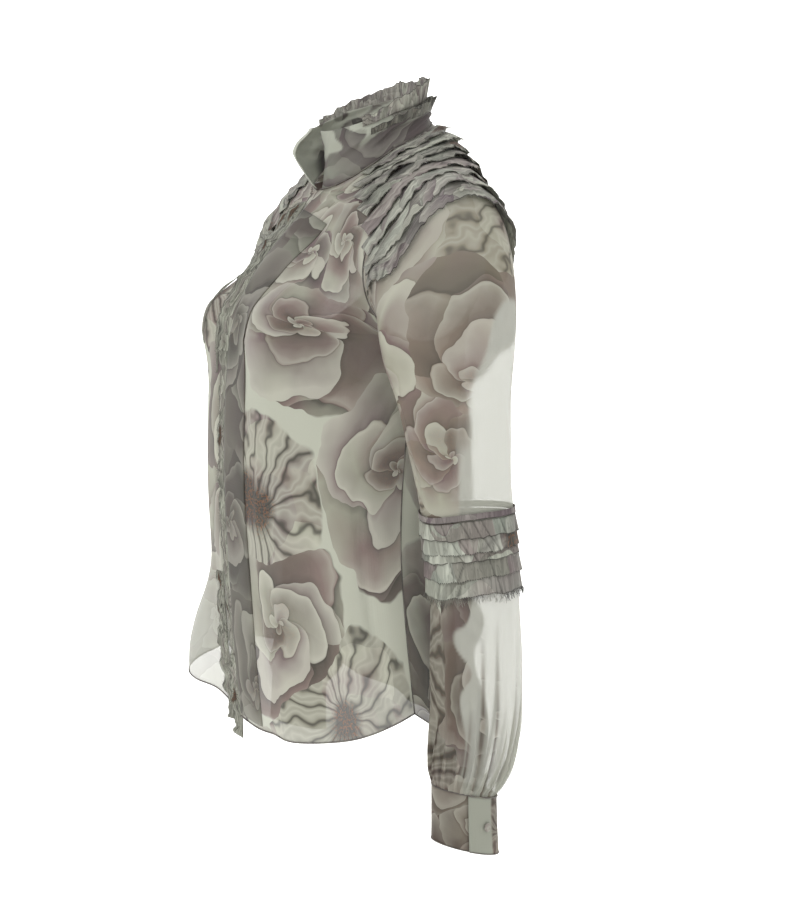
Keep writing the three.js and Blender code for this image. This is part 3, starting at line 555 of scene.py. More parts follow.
BACK_CREASES = table("u v u2 v2 wide depth bow", [
    (0.12, 0.62, 0.30, 0.40, 0.018, -2.4, 0.02),
    (0.20, 0.72, 0.42, 0.52, 0.022, 2.2, -0.02),
    (0.88, 0.60, 0.66, 0.36, 0.020, -2.6, 0.02),
    (0.80, 0.74, 0.58, 0.58, 0.016, 1.8, 0.01),
    (0.35, 0.30, 0.28, 0.02, 0.020, -2.8, 0.01),
    (0.52, 0.34, 0.55, 0.00, 0.024, 2.6, 0.01),
    (0.70, 0.26, 0.74, 0.01, 0.018, -2.4, 0.01),
    (0.44, 0.95, 0.30, 0.80, 0.020, -1.6, 0.01),
    (0.60, 0.94, 0.72, 0.82, 0.020, -1.8, 0.01),
])


def back_place(u, v):
    across = 2 * u - 1
    point = back_point(abs(across), 2 * v)
    if across < 0:
        point.x = -point.x
    return point


back = make_cloth(
    "back_panel", "back", back_cloth, 96, 130, back_place, (430, 690),
    height=lambda u, v: crease_height(BACK_CREASES, u, v) * rise(v, 0.0, 0.02) - 0.6,
    inside=(0, -40, -300),
)


# Fronts: two sheer panels, eased over the bust with no dart, and cut to a curved hem.
# The left one laps over the right one; the right one hangs free below and swings out at its side.
FRONT_LAP = 12
UNDERLAP_DEPTH = 4.2
BUST = {"x": 90, "z": -168, "swell": 24, "wide": 46, "above": 27, "below": 52, "drop": 5}
FLARE = {"at": 0.42, "wide": 0.3, "swing": 36, "height": 0.42, "lift": 24}
FRONT_FOLDS = table("at wide depth start end", [
    (0.24, 0.07, -3.5, 0.86, -0.2),
    (0.4, 0.08, 4.5, 0.8, -0.2),
    (0.56, 0.07, -4.5, 0.9, -0.2),
    (0.71, 0.06, 4, 0.7, -0.2),
    (0.84, 0.05, -3.5, 0.75, -0.2),
])
LEFT_CREASES = table("u v u2 v2 wide depth bow", [
    (0.90, 0.50, 0.60, 0.42, 0.014, -1.6, 0.010),
    (0.95, 0.46, 0.70, 0.33, 0.018, -2.0, -0.015),
    (0.62, 0.38, 0.48, 0.10, 0.020, -2.0, 0.020),
    (0.78, 0.30, 0.84, 0.03, 0.016, -2.2, 0.010),
    (0.36, 0.34, 0.30, 0.04, 0.022, 1.8, -0.012),
    (0.94, 0.72, 0.74, 0.60, 0.014, -1.5, 0.010),
    (0.86, 0.66, 0.66, 0.52, 0.018, 1.4, 0.012),
    (0.52, 0.22, 0.64, 0.02, 0.014, -1.5, 0.008),
])
RIGHT_CREASES = table("u v u2 v2 wide depth bow", [
    (0.92, 0.52, 0.66, 0.40, 0.016, -1.8, 0.012),
    (0.70, 0.36, 0.60, 0.06, 0.020, -2.6, 0.014),
    (0.50, 0.30, 0.44, 0.02, 0.022, 2.6, 0.010),
    (0.34, 0.24, 0.26, 0.02, 0.016, -2.0, 0.010),
    (0.84, 0.28, 0.88, 0.03, 0.016, -2.2, 0.008),
    (0.88, 0.70, 0.68, 0.58, 0.014, -1.4, 0.010),
])


def front_point(share, level):
    point = panel_point(share, level, "front")
    height = point.z - BUST["z"]
    over_bust = bell(point.x - BUST["x"], BUST["wide"]) * (bell(height, BUST["above"]) if height > 0 else 1)
    fade = 1 if height > 0 else mix(BUST["drop"] / BUST["swell"], 1, bell(height, BUST["below"]))
    low = 1 if height > 0 else rise(point.z, HEM["front"], BUST["z"] - 150)
    point.y -= BUST["swell"] * over_bust * fade * low * (1 - rise(share, 0.75, 1))
    window = rise(share, 0.08, 0.25) * (1 - rise(share, 0.85, 1))
    fold = folded(FRONT_FOLDS, share, level) * window
    point.y -= fold * (1 - rise(share, 0.4, 1) * 0.5)
    point.x += fold * rise(share, 0.4, 1) * 0.6
    return point


def surface(place, sign, u_range, v_range, step):
    """Point and outward direction of a form, from small steps across it."""
    def spot(u, v):
        du, dv = (u_range[1] - u_range[0]) * step, (v_range[1] - v_range[0]) * step
        du, dv = (-du if u + du > u_range[1] else du), (-dv if v + dv > v_range[1] else dv)
        here = place(u, v)
        along_u, along_v = (place(u + du, v) - here) / du, (place(u, v + dv) - here) / dv
        return here, (along_u.cross(along_v) * sign).normalized()
    return spot


front_cloth = surface(front_point, 1, (-0.1, 1), (0, 2), 0.004)


def lap_share(level):
    wanted = FRONT_LAP / read(BODY_ROWS, min(level, 1), "half_width") / 1.5
    return wanted * (1 - rise(level, 1 + FRONT_NECK_SHARE - 0.3, 1 + FRONT_NECK_SHARE - 0.1))


def right_front(share, level):
    point, out = front_cloth(share, level)
    near = 1 - rise(point.x, 18, 42)
    low = 1 - rise(level, 1 + FRONT_NECK_SHARE - 0.1, 1 + FRONT_NECK_SHARE)
    point -= out * (UNDERLAP_DEPTH * near * low)
    near_hem = 1 - rise(level, 0, FLARE["height"])
    swing = bell(share - FLARE["at"], FLARE["wide"]) * near_hem * rise(share, 0.1, 0.3)
    point += out * (FLARE["swing"] * swing * (1 - rise(share, 0.7, 1)))
    across = rise(share, 0.05, 0.3) * (1 - rise(share, 0.7, 1))
    point.z += FLARE["lift"] * near_hem * across
    return point, out


def mirrored(point):
    return Vector((-point.x, point.y, point.z))


front_chiffon = sheer_cloth(
    "printed silk chiffon, fronts", 3.4, 132, PANEL_COLOURS, "c9cdbb", 0.93, 0.6, leaves=0.93,
)
far_chiffon = sheer_cloth(
    "printed silk chiffon, right front", 4.2, 118, PANEL_COLOURS, "b4b5a8", 0.9, 0.66, leaves=0.95,
)


def left_place(u, v):
    level = 2 * v
    start = -lap_share(level)
    return front_point(mix(start, 1, u), level)


def right_place(u, v):
    level = 2 * v
    return mirrored(right_front(mix(-lap_share(level), 1, u), level)[0])


FRONT_CUT = (235, 650)
front_left = make_cloth(
    "front_left_panel", "front_left", front_chiffon, 64, 140, left_place, FRONT_CUT,
    height=lambda u, v: crease_height(LEFT_CREASES, u, v) * rise(v, 0.0, 0.02) * rise(u, 0.15, 0.4) - 0.6,
    inside=(60, -40, -300),
)
front_right = make_cloth(
    "front_right_panel", "front_right", far_chiffon, 64, 140, right_place, FRONT_CUT,
    height=lambda u, v: crease_height(RIGHT_CREASES, u, v) * rise(u, 0, 0.1) - 0.6,
    mark=lambda u, v: 1 - 0.9 * bell(v - 0.06, 0.14) * bell(u - 0.45, 0.4),
    inside=(-60, -40, -300),
)


# Placket: a straight band of doubled chiffon on the left front's edge, which hides the buttons.
# It is topstitched along both edges and reads darker, because its layers lie on each other.
PLACKET_WIDTH = 60


def placket_place(u, v):
    level = mix(0.012, 1.52, v)
    row = read(BODY_ROWS, min(level, 1), "half_width")
    start = -lap_share(level) * row * 1.5 + 0.6
    target = start + PLACKET_WIDTH * u
    share = target / row / 1.3
    for _ in range(3):
        share += (target - front_point(share, level).x) / (row * 1.4)
    point, out = front_cloth(share, level)
    return point + out * 0.5


BAND_COLOURS = [
    (0.0, "5e5552"), (0.3, "665e58"), (0.45, "56534c"), (0.6, "6f6b62"), (0.72, "605753"), (1.0, "707064"),
]
band_cloth = sheer_cloth("doubled silk chiffon, placket", 5.4, 150, BAND_COLOURS, "8b827b", 0.95, 0.9, 0.5)
placket = make_cloth(
    "placket_band", "placket", band_cloth, 16, 150, placket_place, (62, 590),
    inside=(20, 0, -300), wall=0.8,
)


# Buttons: small domed shells covered with the blouse's own cloth, between the two fronts and on the cuffs.
# Each is spun from a half section, with a shallow ring where the cloth is drawn over the rim.
button_cloth = new_material("chiffon drawn over a button shell", [
    ("where", "TexCoord", {}),
    ("mottle", "TexNoise", {"Scale": 260.0, "Detail": 2.0}, {"Vector": "where.Object"}),
    ("tint", "ValToRGB", {"stops": [(0.35, "8a827b"), (0.65, "a7a598")]}, {0: "mottle.Fac"}),
    ("dent", "Bump", {"Strength": 0.2, "Distance": 0.0003}, {"Height": "mottle.Fac"}),
    ("shader", "BsdfPrincipled", {"Roughness": 0.6, "Sheen Weight": 0.2}, {
        "Base Color": "tint", "Normal": "dent",
    }),
    ("out", "OutputMaterial", {}, {"Surface": "shader"}),
])

# Half section of a button: how far out, and how far through its thickness
BUTTON_SECTION = [
    (0, 0.0), (0.55, 0.02), (0.85, 0.1), (0.98, 0.3), (1.0, 0.5),
    (0.96, 0.72), (0.8, 0.8), (0.5, 0.98), (0, 1.0),
]


def make_button(name, node):
    low, high = (Vector(p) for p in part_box(node))
    middle = (low + high) / 2
    owner = bpy.data.objects[node].data
    bm = bmesh.new()
    bm.from_mesh(owner)
    bmesh.ops.remove_doubles(bm, verts=bm.verts, dist=1e-6)
    largest = max(bm.faces, key=lambda face: face.calc_area())
    total = Vector()
    for face in bm.faces:
        if abs(face.normal.dot(largest.normal)) > 0.99:
            way = face.normal if face.normal.x * middle.x - face.normal.y >= 0 else -face.normal
            total += way * face.calc_area()
    axis = total.normalized()
    radius = max((v.co - middle - axis * (v.co - middle).dot(axis)).length for v in bm.verts)
    thick = max((v.co - middle).dot(axis) for v in bm.verts) * 2
    bm.clear()
    verts = [bm.verts.new((r * radius, 0, (t - 0.5) * thick)) for r, t in BUTTON_SECTION]
    edges = [bm.edges.new(pair) for pair in zip(verts, verts[1:])]
    bmesh.ops.spin(
        bm, geom=verts + edges, axis=(0, 0, 1), cent=(0, 0, 0), steps=28, angle=math.tau, use_merge=True,
    )
    bmesh.ops.remove_doubles(bm, verts=bm.verts, dist=1e-6)
    bmesh.ops.recalc_face_normals(bm, faces=bm.faces)
    turn = Vector((0, 0, 1)).rotation_difference(axis).to_matrix().to_4x4()
    bmesh.ops.transform(bm, matrix=turn, verts=bm.verts)
    bmesh.ops.translate(bm, vec=middle, verts=bm.verts)
    mesh = bpy.data.meshes.new(name)
    bm.to_mesh(mesh)
    bm.free()
    mesh.shade_smooth()
    made = bpy.data.objects.new(name, mesh)
    bpy.context.collection.objects.link(made)
    made.data.materials.append(button_cloth)
    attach(made, "root")
    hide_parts(node)


for i in range(1, 8):
    make_button(f"covered_button_{i}", f"button_{i}")
for side in ("left", "right"):
    make_button(f"covered_cuff_button_{side}", f"cuff_button_{side}")


# Front frills: raw-edged strips, crumpled and sewn down one edge, on the wearer's right front.
# They are full from the neck to the bust, narrow at the waist and full again below the hem.
FRONT_FRILLS = table("name top bottom inner width root edge rise waves cut", [
    ("front_frill_1", -52, -640, 15, 25, 1, 3.2, 3.6, 15, 0.72),
    ("front_frill_2", -56, -236, 37, 28, 0.7, 2.6, 4, 6, 0.6),
    ("front_frill_3", -72, -206, 68, 24, 0.7, 2, 3, 5, 0.6),
    ("front_frill_4", -455, -628, 43, 22, 0.7, 2.6, 5.4, 5, 0.72),
])


def strip_cloth(
    name, seed, bloom, turn, colours, hides=0.95, crumple=(24.0, 330.0), lines=0.5, dashes=0.0, soft=0.6,
):
    """Raw-edged strips cut across the print. crumple: fineness of folds along and across; lines: painted
    crease shade.
    """
    return new_material(name, print_rows(seed, bloom, turn, colours, soft) + [
        # Fine folds lie where the strip was crumpled by hand; painted shade draws a thin dark line in each
        # fold's crease
        ("crumple_place", "Mapping", {"Location": (seed, seed, 0), "Scale": (*crumple, 1)}, {
            "Vector": "where.UV",
        }),
        ("folds", "TexNoise", {"noise_dimensions": "2D", "Scale": 1.0, "Detail": 2.5, "Distortion": 0.4}, {
            "Vector": "crumple_place",
        }),
        ("off", "Math SUBTRACT", {1: 0.5}, {0: "folds.Fac"}),
        ("near", "Math ABSOLUTE", {}, {0: "off"}),
        ("line", "MapRange", {"From Min": 0.0, "From Max": 0.04, "To Min": 1 - lines}, {0: "near"}),
        # Painted shade on each fold's low side and painted light on its high side
        ("soft_side", "MapRange", {"From Min": 0.3, "From Max": 0.7, "To Min": 0.8, "To Max": 1.18}, {
            0: "folds.Fac",
        }),
        # On the elbow strips the printed attribute is painted shade along the pleat folds; elsewhere it is 1
        ("marked", "Attribute", {"attribute_name": "printed"}),
        ("depth", "Math MULTIPLY", {}, {0: "line", 1: "soft_side"}),
        ("pleated", "Math MULTIPLY", {}, {0: "depth", 1: "marked.Fac"}),
        ("toned", "VectorMath SCALE", {}, {0: "print.2", "Scale": "pleated"}),
        # The free edge is dark where its threads crowd; dashes are whip stitches along it
        ("parts", "SeparateXYZ", {}, {0: "where.UV"}),
        ("ragged", "Math MULTIPLY_ADD", {1: 0.0014, 2: 0.0001}, {0: "folds.Fac"}),
        ("edge", "Math LESS_THAN", {}, {0: "parts.Y", 1: "ragged"}),
        ("along", "Math MULTIPLY", {1: 2600.0}, {0: "parts.X"}),
        ("beat", "Math SINE", {}, {0: "along"}),
        ("stitch", "MapRange", {
            "From Min": -0.1, "From Max": 0.1, "To Min": 0.75 * (1 - dashes), "To Max": 0.8,
        }, {0: "beat"}),
        ("edge_part", "Math MULTIPLY", {}, {0: "edge", 1: "stitch"}),
        ("final", "Mix", {"data_type": "RGBA", 7: linear("3b3a35")}, {0: "edge_part", 6: "toned"}),
        ("bump", "Bump", {"Strength": 0.6, "Distance": 0.0012}, {"Height": "folds.Fac"}),
        ("shader", "BsdfPrincipled", {
            "Roughness": 0.78, "Specular IOR Level": 0.2, "Sheen Weight": 0.1, "Alpha": hides,
        }, {"Base Color": "final.2", "Normal": "bump"}),
        ("out", "OutputMaterial", {}, {"Surface": "shader"}),
    ])


FRILL_COLOURS = [
    (0.0, "8f9184"), (0.22, "74736a"), (0.38, "9b9d8f"), (0.55, "7f7873"), (0.68, "a9ab9c"), (0.82, "66655d"),
    (1.0, "8b8c7f"),
]
frill_cloth = strip_cloth("raw-edged chiffon strips, front", 1.7, (55, 24), 0.2, FRILL_COLOURS, lines=0.6)

frill_phase = {"front_frill_1": 0.4, "front_frill_2": 1.7, "front_frill_3": 2.9, "front_frill_4": 4.1}


def level_at(height):
    if height < ARMPIT_Z:
        return (height - HEM["front"]) / (ARMPIT_Z - HEM["front"])
    return 1 + FRONT_NECK_SHARE * (height - ARMPIT_Z) / (NECK["front_drop"] - ARMPIT_Z)


def share_at(distance, level):
    """Where on the front a point lies this far from its centre line, by the secant rule."""
    share, other = distance / 230, distance / 200
    off, other_off = front_point(share, level).x - distance, front_point(other, level).x - distance
    for _ in range(4):
        if abs(other_off - off) < 1e-6:
            break
        share, other, other_off = share - off * (share - other) / (off - other_off), share, off
        off = front_point(share, level).x - distance
    return share


def frill_spot(frill, across, height):
    level = min(level_at(height), 1 + FRONT_NECK_SHARE - 0.02)
    progress = (height - frill["top"]) / (frill["bottom"] - frill["top"])
    taper = 0.45 + 0.55 * math.sin(math.pi * clamp(progress, 0.04, 0.96))
    narrow = 1 - 0.5 * rise(-height, 150, 260) * (1 - rise(-height, 520, 590))
    if frill["name"] == "front_frill_4":
        narrow = 0.6
    if frill["name"] in ("front_frill_2", "front_frill_3"):
        narrow = 1 - 0.85 * rise(progress, 0.15, 0.5)
    inner = 34 if frill["name"] == "front_frill_4" else frill["inner"]
    distance = inner + across * frill["width"] * taper * narrow
    point, out = right_front(share_at(distance, level), max(level, 0))
    wave = math.sin(2 * math.pi * frill["waves"] * progress + 1.3 * math.sin(9 * progress))
    lift = 0.5 + frill["root"] + narrow * across * (frill["edge"] + frill["rise"] * (0.5 + 0.5 * wave))
    fine = math.sin(height / 2.6 + frill_phase[frill["name"]] + 2 * math.sin(height / 17))
    lift += narrow * across * (1.1 * fine + 0.5 * math.sin(height / 1.3))
    point += out * lift
    point.z += min(height - HEM["front"], 0) + across * 1.5 * math.sin(height / 6.1)
    return mirrored(point), Vector((-out.x, out.y, out.z))


def add_curve(name, lines, thick, resolution, material):
    """Thin round cords of one thickness in mm, along lists of points in mm."""
    cords = bpy.data.curves.new(name, "CURVE")
    cords.dimensions = "3D"
    cords.bevel_depth = thick * MM / 2
    cords.bevel_resolution = resolution
    cords.use_fill_caps = True
    for points in lines:
        cord = cords.splines.new("POLY")
        cord.points.add(len(points) - 1)
        for knot, point in zip(cord.points, points):
            knot.co = (*(point * MM), 1)
    made = bpy.data.objects.new(name, cords)
    bpy.context.collection.objects.link(made)
    cords.materials.append(material)
    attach(made, "root")
    return made


def add_threads(name, edge, count, longest, thick, material, behind=0.0):
    """Loose warp ends along a raw edge, each bent once.

    edge gives a point with its ways out and down, and behind is how much longer the first ends are.
    """
    threads = []
    for i in range(count):
        share = (i + draw.random()) / count
        start, out, down = edge(share)
        length = longest * (0.35 + 0.65 * draw.random()) * (0.4 if draw.random() < 0.3 else 1)
        length *= 1 + behind * (1 - rise(share, 0.0, 0.3))
        side = out.cross(down).normalized() * draw.uniform(-0.5, 0.5)
        way = (down + side + out * draw.uniform(-0.25, 0.5)).normalized()
        tip = (down + side * 1.8 + out * draw.uniform(-0.3, 0.3) + Vector((0, 0, -0.3))).normalized()
        middle = start + way * length * 0.55
        threads.append((start, middle, middle + tip * length * 0.45))
    return add_curve(name, threads, thick, 0, material)


def mottled(name, scale, detail, stops, settings):
    """Small stuff of one colour, a little lighter and darker from place to place."""
    return new_material(name, [
        ("where", "TexCoord", {}),
        ("mottle", "TexNoise", {"Scale": scale, "Detail": detail}, {"Vector": "where.Object"}),
        ("tint", "ValToRGB", {"stops": stops}, {0: "mottle.Fac"}),
        ("shader", "BsdfPrincipled", settings, {"Base Color": "tint"}),
        ("out", "OutputMaterial", {}, {"Surface": "shader"}),
    ])


thread_stuff = mottled(
    "loose silk threads", 90.0, 1.0, [(0.4, "6a6960"), (0.5, "9a998c"), (0.62, "b5b4a8")], {"Roughness": 0.6},
)

for frill in FRONT_FRILLS:
    def frill_place(u, v, frill=frill):
        return frill_spot(frill, 1 - v, mix(frill["top"], frill["bottom"], u))[0]

    def frill_edge(share, frill=frill):
        height = mix(frill["top"], frill["bottom"], share)
        point, out = frill_spot(frill, 1, height)
        root = frill_spot(frill, 0.8, height)[0]
        return point, out, (point - root).normalized()

    run = frill["top"] - frill["bottom"]
    strip = make_cloth(
        frill["name"] + "_strip", frill["name"], frill_cloth, int(run / 1.6), 8,
        frill_place, (run * 1.15, frill["width"]),
        inside=(-30, 0, (frill["top"] + frill["bottom"]) / 2), wall=0.5,
    )
    ends = add_threads(
        frill["name"] + "_threads", frill_edge, int(run / 1.6), 3.2, 0.22, thread_stuff,
    )


# Collar: a tall straight band of doubled chiffon, too long for its place, so that it slouches in drape folds.
# Its right end rolls outward; the left end tucks in beside it.
COLLAR_ROWS = table("at height lean roll", [
    (0, 62, 2, 0),
    (45, 53, 0, 0),
    (90, 41, -3, 0),
    (135, 33, -7, 0),
    (180, 28, -9, 0),
    (225, 33, -7, 0),
    (270, 42, -3, 0),
    (315, 56, 2, 7),
    (340, 62, 5, 17),
    (360, 64, 4, 20),
])
COLLAR = {"lift": 0.9, "start": 3, "end": 354, "fold_depth": 3.2}
COLLAR_CREASES = table("u v u2 v2 wide depth bow", [
    (0.02, 0.30, 0.20, 0.72, 0.030, 1.6, 0.02),
    (0.04, 0.10, 0.26, 0.42, 0.034, -1.5, 0.02),
    (0.14, 0.20, 0.40, 0.80, 0.026, 1.9, 0.03),
    (0.20, 0.06, 0.46, 0.48, 0.030, -1.8, 0.02),
    (0.30, 0.16, 0.58, 0.62, 0.028, 1.8, -0.03),
    (0.34, 0.62, 0.60, 0.34, 0.024, -2.2, 0.04),
    (0.42, 0.86, 0.64, 0.74, 0.050, 1.7, 0.05),
    (0.58, 0.20, 0.78, 0.66, 0.028, 1.6, 0.02),
    (0.66, 0.72, 0.86, 0.30, 0.028, -1.8, 0.02),
    (0.80, 0.20, 0.97, 0.60, 0.028, 1.6, 0.02),
])


def collar_point(angle, share):
    foot = neckline(angle)
    flat = Vector((math.sin(math.radians(angle)), -math.cos(math.radians(angle)), 0))
    belly = math.sin(math.pi * share)
    fold = math.sin(math.radians(angle * 1.5) + share * 7.5) * belly
    out = read(COLLAR_ROWS, angle, "lean") * share + read(COLLAR_ROWS, angle, "roll") * belly
    out += COLLAR["fold_depth"] * fold * rise(angle, 8, 40) * (1 - 0.6 * bell(angle - 180, 100))
    return foot + flat * out + Vector((0, 0, COLLAR["lift"] + read(COLLAR_ROWS, angle, "height") * share))


def collar_drape(u, v):
    """Soft folds, with the start of the band rolled in and its top edge a little wavy."""
    middle = math.sin(math.pi * clamp(v, 0.02, 0.98))
    roll = -5.5 * (1 - rise(u, 0.0, 0.05)) * (0.3 + 0.7 * middle)
    wander = 2.2 * noise.noise(Vector((u * 9, v * 2.5, 1.3))) + 0.9 * noise.noise(Vector((u * 26, v * 7, 5.1)))
    return 1.6 * crease_height(COLLAR_CREASES, u, v) * middle + wander * rise(v, 0.05, 0.5) + roll - 0.6


def collar_mark(u, v):
    """The lower band is dark; pale patches lie above it, and the rolled end is pale."""
    patch = noise.noise(Vector((u * 14, v * 3.4, 8.8)))
    return 1 - clamp(0.85 * rise(u, 0.85, 0.9) + 0.8 * rise(patch, -0.12, 0.0) * rise(v, 0.42, 0.6))


COLLAR_COLOURS = [
    (0.0, "5b5454"), (0.25, "4d4c48"), (0.38, "675e5d"), (0.52, "75756c"), (0.62, "53524d"), (0.74, "6b6261"),
    (0.88, "87897e"), (1.0, "605956"),
]
collar_cloth = sheer_cloth("doubled silk chiffon, collar", 7.9, 150, COLLAR_COLOURS, "c2c5b6", 0.95, 0.94, 0.4)
collar = make_cloth(
    "collar_band", "collar", collar_cloth, 200, 26,
    lambda u, v: collar_point(mix(COLLAR["start"], COLLAR["end"], u), v), (420, 62),
    height=collar_drape, mark=collar_mark, inside=(0, 5, 20), wall=0.6,
)

# Collar frills: two raw strips gathered onto the collar below its top edge, round the sides and back.
# The upper one stands up pale and pleated; the dark lower one is pleated narrowly over its foot.
COLLAR_FRILLS = table("name start end base height out lean waves wave", [
    ("collar_frill_top", 58, 302, -6, 23, 0.6, 2.3, 17, 1.6),
    ("collar_frill_under", 66, 294, -17, 15, 1.2, 4.6, 15, 1.3),
])


def collar_frill_spot(frill, angle, share):
    height = read(COLLAR_ROWS, angle, "height")
    point = collar_point(angle, max(1 + frill["base"] / height, 0.4))
    along = clamp((angle - frill["start"]) / (frill["end"] - frill["start"]), 0.06, 0.94)
    taper = math.sqrt(math.sin(math.pi * along))
    turned = (angle - frill["start"]) * 360 / (frill["end"] - frill["start"])
    wave = frill["wave"] * math.sin(math.radians(turned) * frill["waves"])
    fine = 0.7 * math.sin(math.radians(turned) * frill["waves"] * 3.1 + 0.8 * math.sin(angle / 9))
    flat = Vector((math.sin(math.radians(angle)), -math.cos(math.radians(angle)), 0))
    point += flat * (frill["out"] + 0.5 + share * (frill["lean"] + wave + fine))
    point.z += share * frill["height"] * taper + share * 0.9 * math.sin(angle / 2.3)
    ragged = 4.5 * noise.noise(Vector((angle / 11, frill["base"], 0)))
    ragged += 2 * noise.noise(Vector((angle / 2.7, 3.3, 0)))
    point.z += share * ragged * taper
    return point, flat


TOP_FRILL_COLOURS = [
    (0.0, "8f8783"), (0.3, "9d9894"), (0.5, "857d79"), (0.66, "a7a89b"), (0.85, "7d7571"), (1.0, "8f8a82"),
]
UNDER_FRILL_COLOURS = [
    (0.0, "56554f"), (0.3, "66655f"), (0.5, "4d4c47"), (0.68, "7a7970"), (0.93, "5f5650"), (1.0, "7a5236"),
]
frill_looks = {
    "collar_frill_top": strip_cloth(
        "raw-edged chiffon strip, collar top", 3.1, (30, 70), 0.1, TOP_FRILL_COLOURS, 0.88, (260.0, 40.0), 0.5,
    ),
    "collar_frill_under": strip_cloth(
        "raw-edged chiffon strip, collar foot", 5.9, (24, 60), 0.1, UNDER_FRILL_COLOURS,
        0.95, (420.0, 30.0), 0.6, soft=0.3,
    ),
}
for frill in COLLAR_FRILLS:
    def frill_place(u, v, frill=frill):
        return collar_frill_spot(frill, mix(frill["start"], frill["end"], u), 1 - v)[0]

    def frill_edge(share, frill=frill):
        angle = mix(frill["start"], frill["end"], share)
        point, out = collar_frill_spot(frill, angle, 1)
        return point, out, Vector((0, 0, 1))

    run = 320 if frill["name"] == "collar_frill_top" else 290
    strip = make_cloth(
        frill["name"] + "_strip", frill["name"], frill_looks[frill["name"]], 260, 8,
        frill_place, (run, frill["height"]), inside=(0, 5, 40), wall=0.4,
    )
    ends = add_threads(frill["name"] + "_threads", frill_edge, 190, 2.6, 0.2, thread_stuff)

# Sleeves: full tubes of the sheer chiffon, seamed under the arm and again under the elbow strips.
# The lower one is drawn up in fine gathers where it meets the cuff.
ELBOW_SEAM = 358
GATHERS = {"count": 18, "height": 3.4, "start": 470, "peak": 578, "end": 594}
SLEEVE_FOLDS = table("at wide depth start end", [
    (18, 13, -3, 60, 330),
    (48, 15, 3, 110, 340),
    (128, 16, -3, 130, 350),
    (205, 18, 2.5, 150, 340),
    (288, 15, -3.5, 100, 345),
    (330, 12, 3, 80, 335),
])
SLEEVE_CREASES = table("u v u2 v2 wide depth bow", [
    (0.05, 0.30, 0.14, 0.62, 0.014, -1.6, 0.012),
    (0.20, 0.34, 0.12, 0.72, 0.018, 1.4, -0.010),
    (0.30, 0.40, 0.24, 0.80, 0.016, -1.8, 0.012),
    (0.40, 0.52, 0.36, 0.90, 0.020, 1.6, 0.010),
    (0.52, 0.44, 0.56, 0.86, 0.016, -1.8, 0.010),
    (0.66, 0.36, 0.60, 0.80, 0.020, -1.6, 0.014),
    (0.78, 0.40, 0.74, 0.86, 0.014, -1.8, 0.010),
    (0.88, 0.24, 0.82, 0.60, 0.018, 1.5, 0.012),
    (0.94, 0.55, 0.90, 0.92, 0.014, -1.6, 0.008),
])
LOWER_FOLDS = table("at wide depth start end", [
    (12, 8, -2.6, 380, 500),
    (40, 10, 2.4, 400, 520),
    (74, 8, -2.8, 390, 500),
    (112, 11, 2.2, 400, 500),
    (150, 9, -2.4, 390, 500),
    (196, 12, 2.6, 400, 510),
    (240, 9, -2.6, 390, 500),
    (276, 10, 2.2, 380, 500),
    (312, 8, -2.8, 385, 500),
    (344, 9, 2.2, 395, 510),
])


def gather_phase(length, angle):
    return math.radians(angle * GATHERS["count"]) + 0.9 * math.sin(math.radians(angle * 2) + length / 90)


def sleeve_ease(length, angle):
    whole = angle % 360
    total = folded(SLEEVE_FOLDS, whole, length) if length < ELBOW_SEAM else 0
    total *= 1 - rise(length, 270, 306)
    grown = rise(length, GATHERS["start"], GATHERS["peak"])
    grown *= 1 - rise(length, GATHERS["peak"], GATHERS["end"])
    return total + GATHERS["height"] * grown * math.cos(gather_phase(length, angle))


def sleeve_form(length, angle):
    return sleeve_point(length, angle, sleeve_ease(length, angle))


sleeve_cloth = surface(sleeve_form, -1, (0, 652), (-720, 720), 0.0008)


def gather_height(u, v):
    length = mix(ELBOW_SEAM, GATHERS["end"], v)
    angle = 360 * u
    total = folded(LOWER_FOLDS, angle, length) * (1 - rise(length, 530, 580)) * rise(length, 360, 380)
    near_cuff = rise(length, 520, 585)
    total += near_cuff * 1.1 * math.sin(math.radians(angle * 41) + 1.4 * math.sin(math.radians(angle * 5)))
    total += 0.5 * near_cuff * math.sin(math.radians(angle * 73) + length / 9)
    return total * (1 - 0.75 * rise(length, 586, 594)) - 0.6


def clear_of(u, v, spots):
    """How much of the print there is, where spots are plain patches between the flowers."""
    plain = sum(bell(u - cu, wu) * bell(v - cv, wv) * amount for cu, cv, wu, wv, amount in spots)
    ragged = 0.25 * noise.noise(Vector((u * 12, v * 6, 0.5)))
    return 1 - rise(plain + ragged, 0.38, 0.45)


def fold_line(u, v):
    """Each gather is three layers deep in its fold, so it shows as a dark line that grows towards the cuff."""
    angle = 360 * u + 180
    chosen = 0.5 + 0.5 * math.sin(math.radians(angle * 5) + 1.1)
    thin = (0.5 - 0.5 * math.cos(gather_phase(mix(ELBOW_SEAM, GATHERS["end"], v), angle))) ** 5
    return thin * rise(v, mix(0.7, 0.1, chosen), mix(0.95, 0.7, chosen))


UPPER_PLAIN = [
    # place round the sleeve (0 underarm, 0.5 outside), place along it, how wide, how long, how plain
    (0.29, 0.62, 0.200, 0.32, 1.0),
    (0.33, 0.90, 0.230, 0.20, 1.0),
    (0.88, 0.78, 0.080, 0.20, 0.7),
]
LOWER_PLAIN = [
    (0.32, 0.20, 0.230, 0.50, 1.0),
    (0.34, 0.55, 0.200, 0.42, 1.0),
    (0.37, 0.86, 0.170, 0.30, 1.0),
    (0.90, 0.40, 0.060, 0.40, 0.7),
]
SLEEVE_COLOURS = [
    (0.0, "7e6c69"), (0.2, "8a7873"), (0.34, "867d6d"), (0.46, "7e7367"), (0.58, "928376"), (0.7, "82706d"),
    (0.82, "acaa98"), (0.9, "887971"), (1.0, "938d7c"),
]
LOWER_COLOURS = [
    (0.0, "60524d"), (0.28, "6a5b56"), (0.42, "6e6559"), (0.54, "61584e"), (0.68, "76685e"), (0.82, "665752"),
    (1.0, "7c7467"),
]
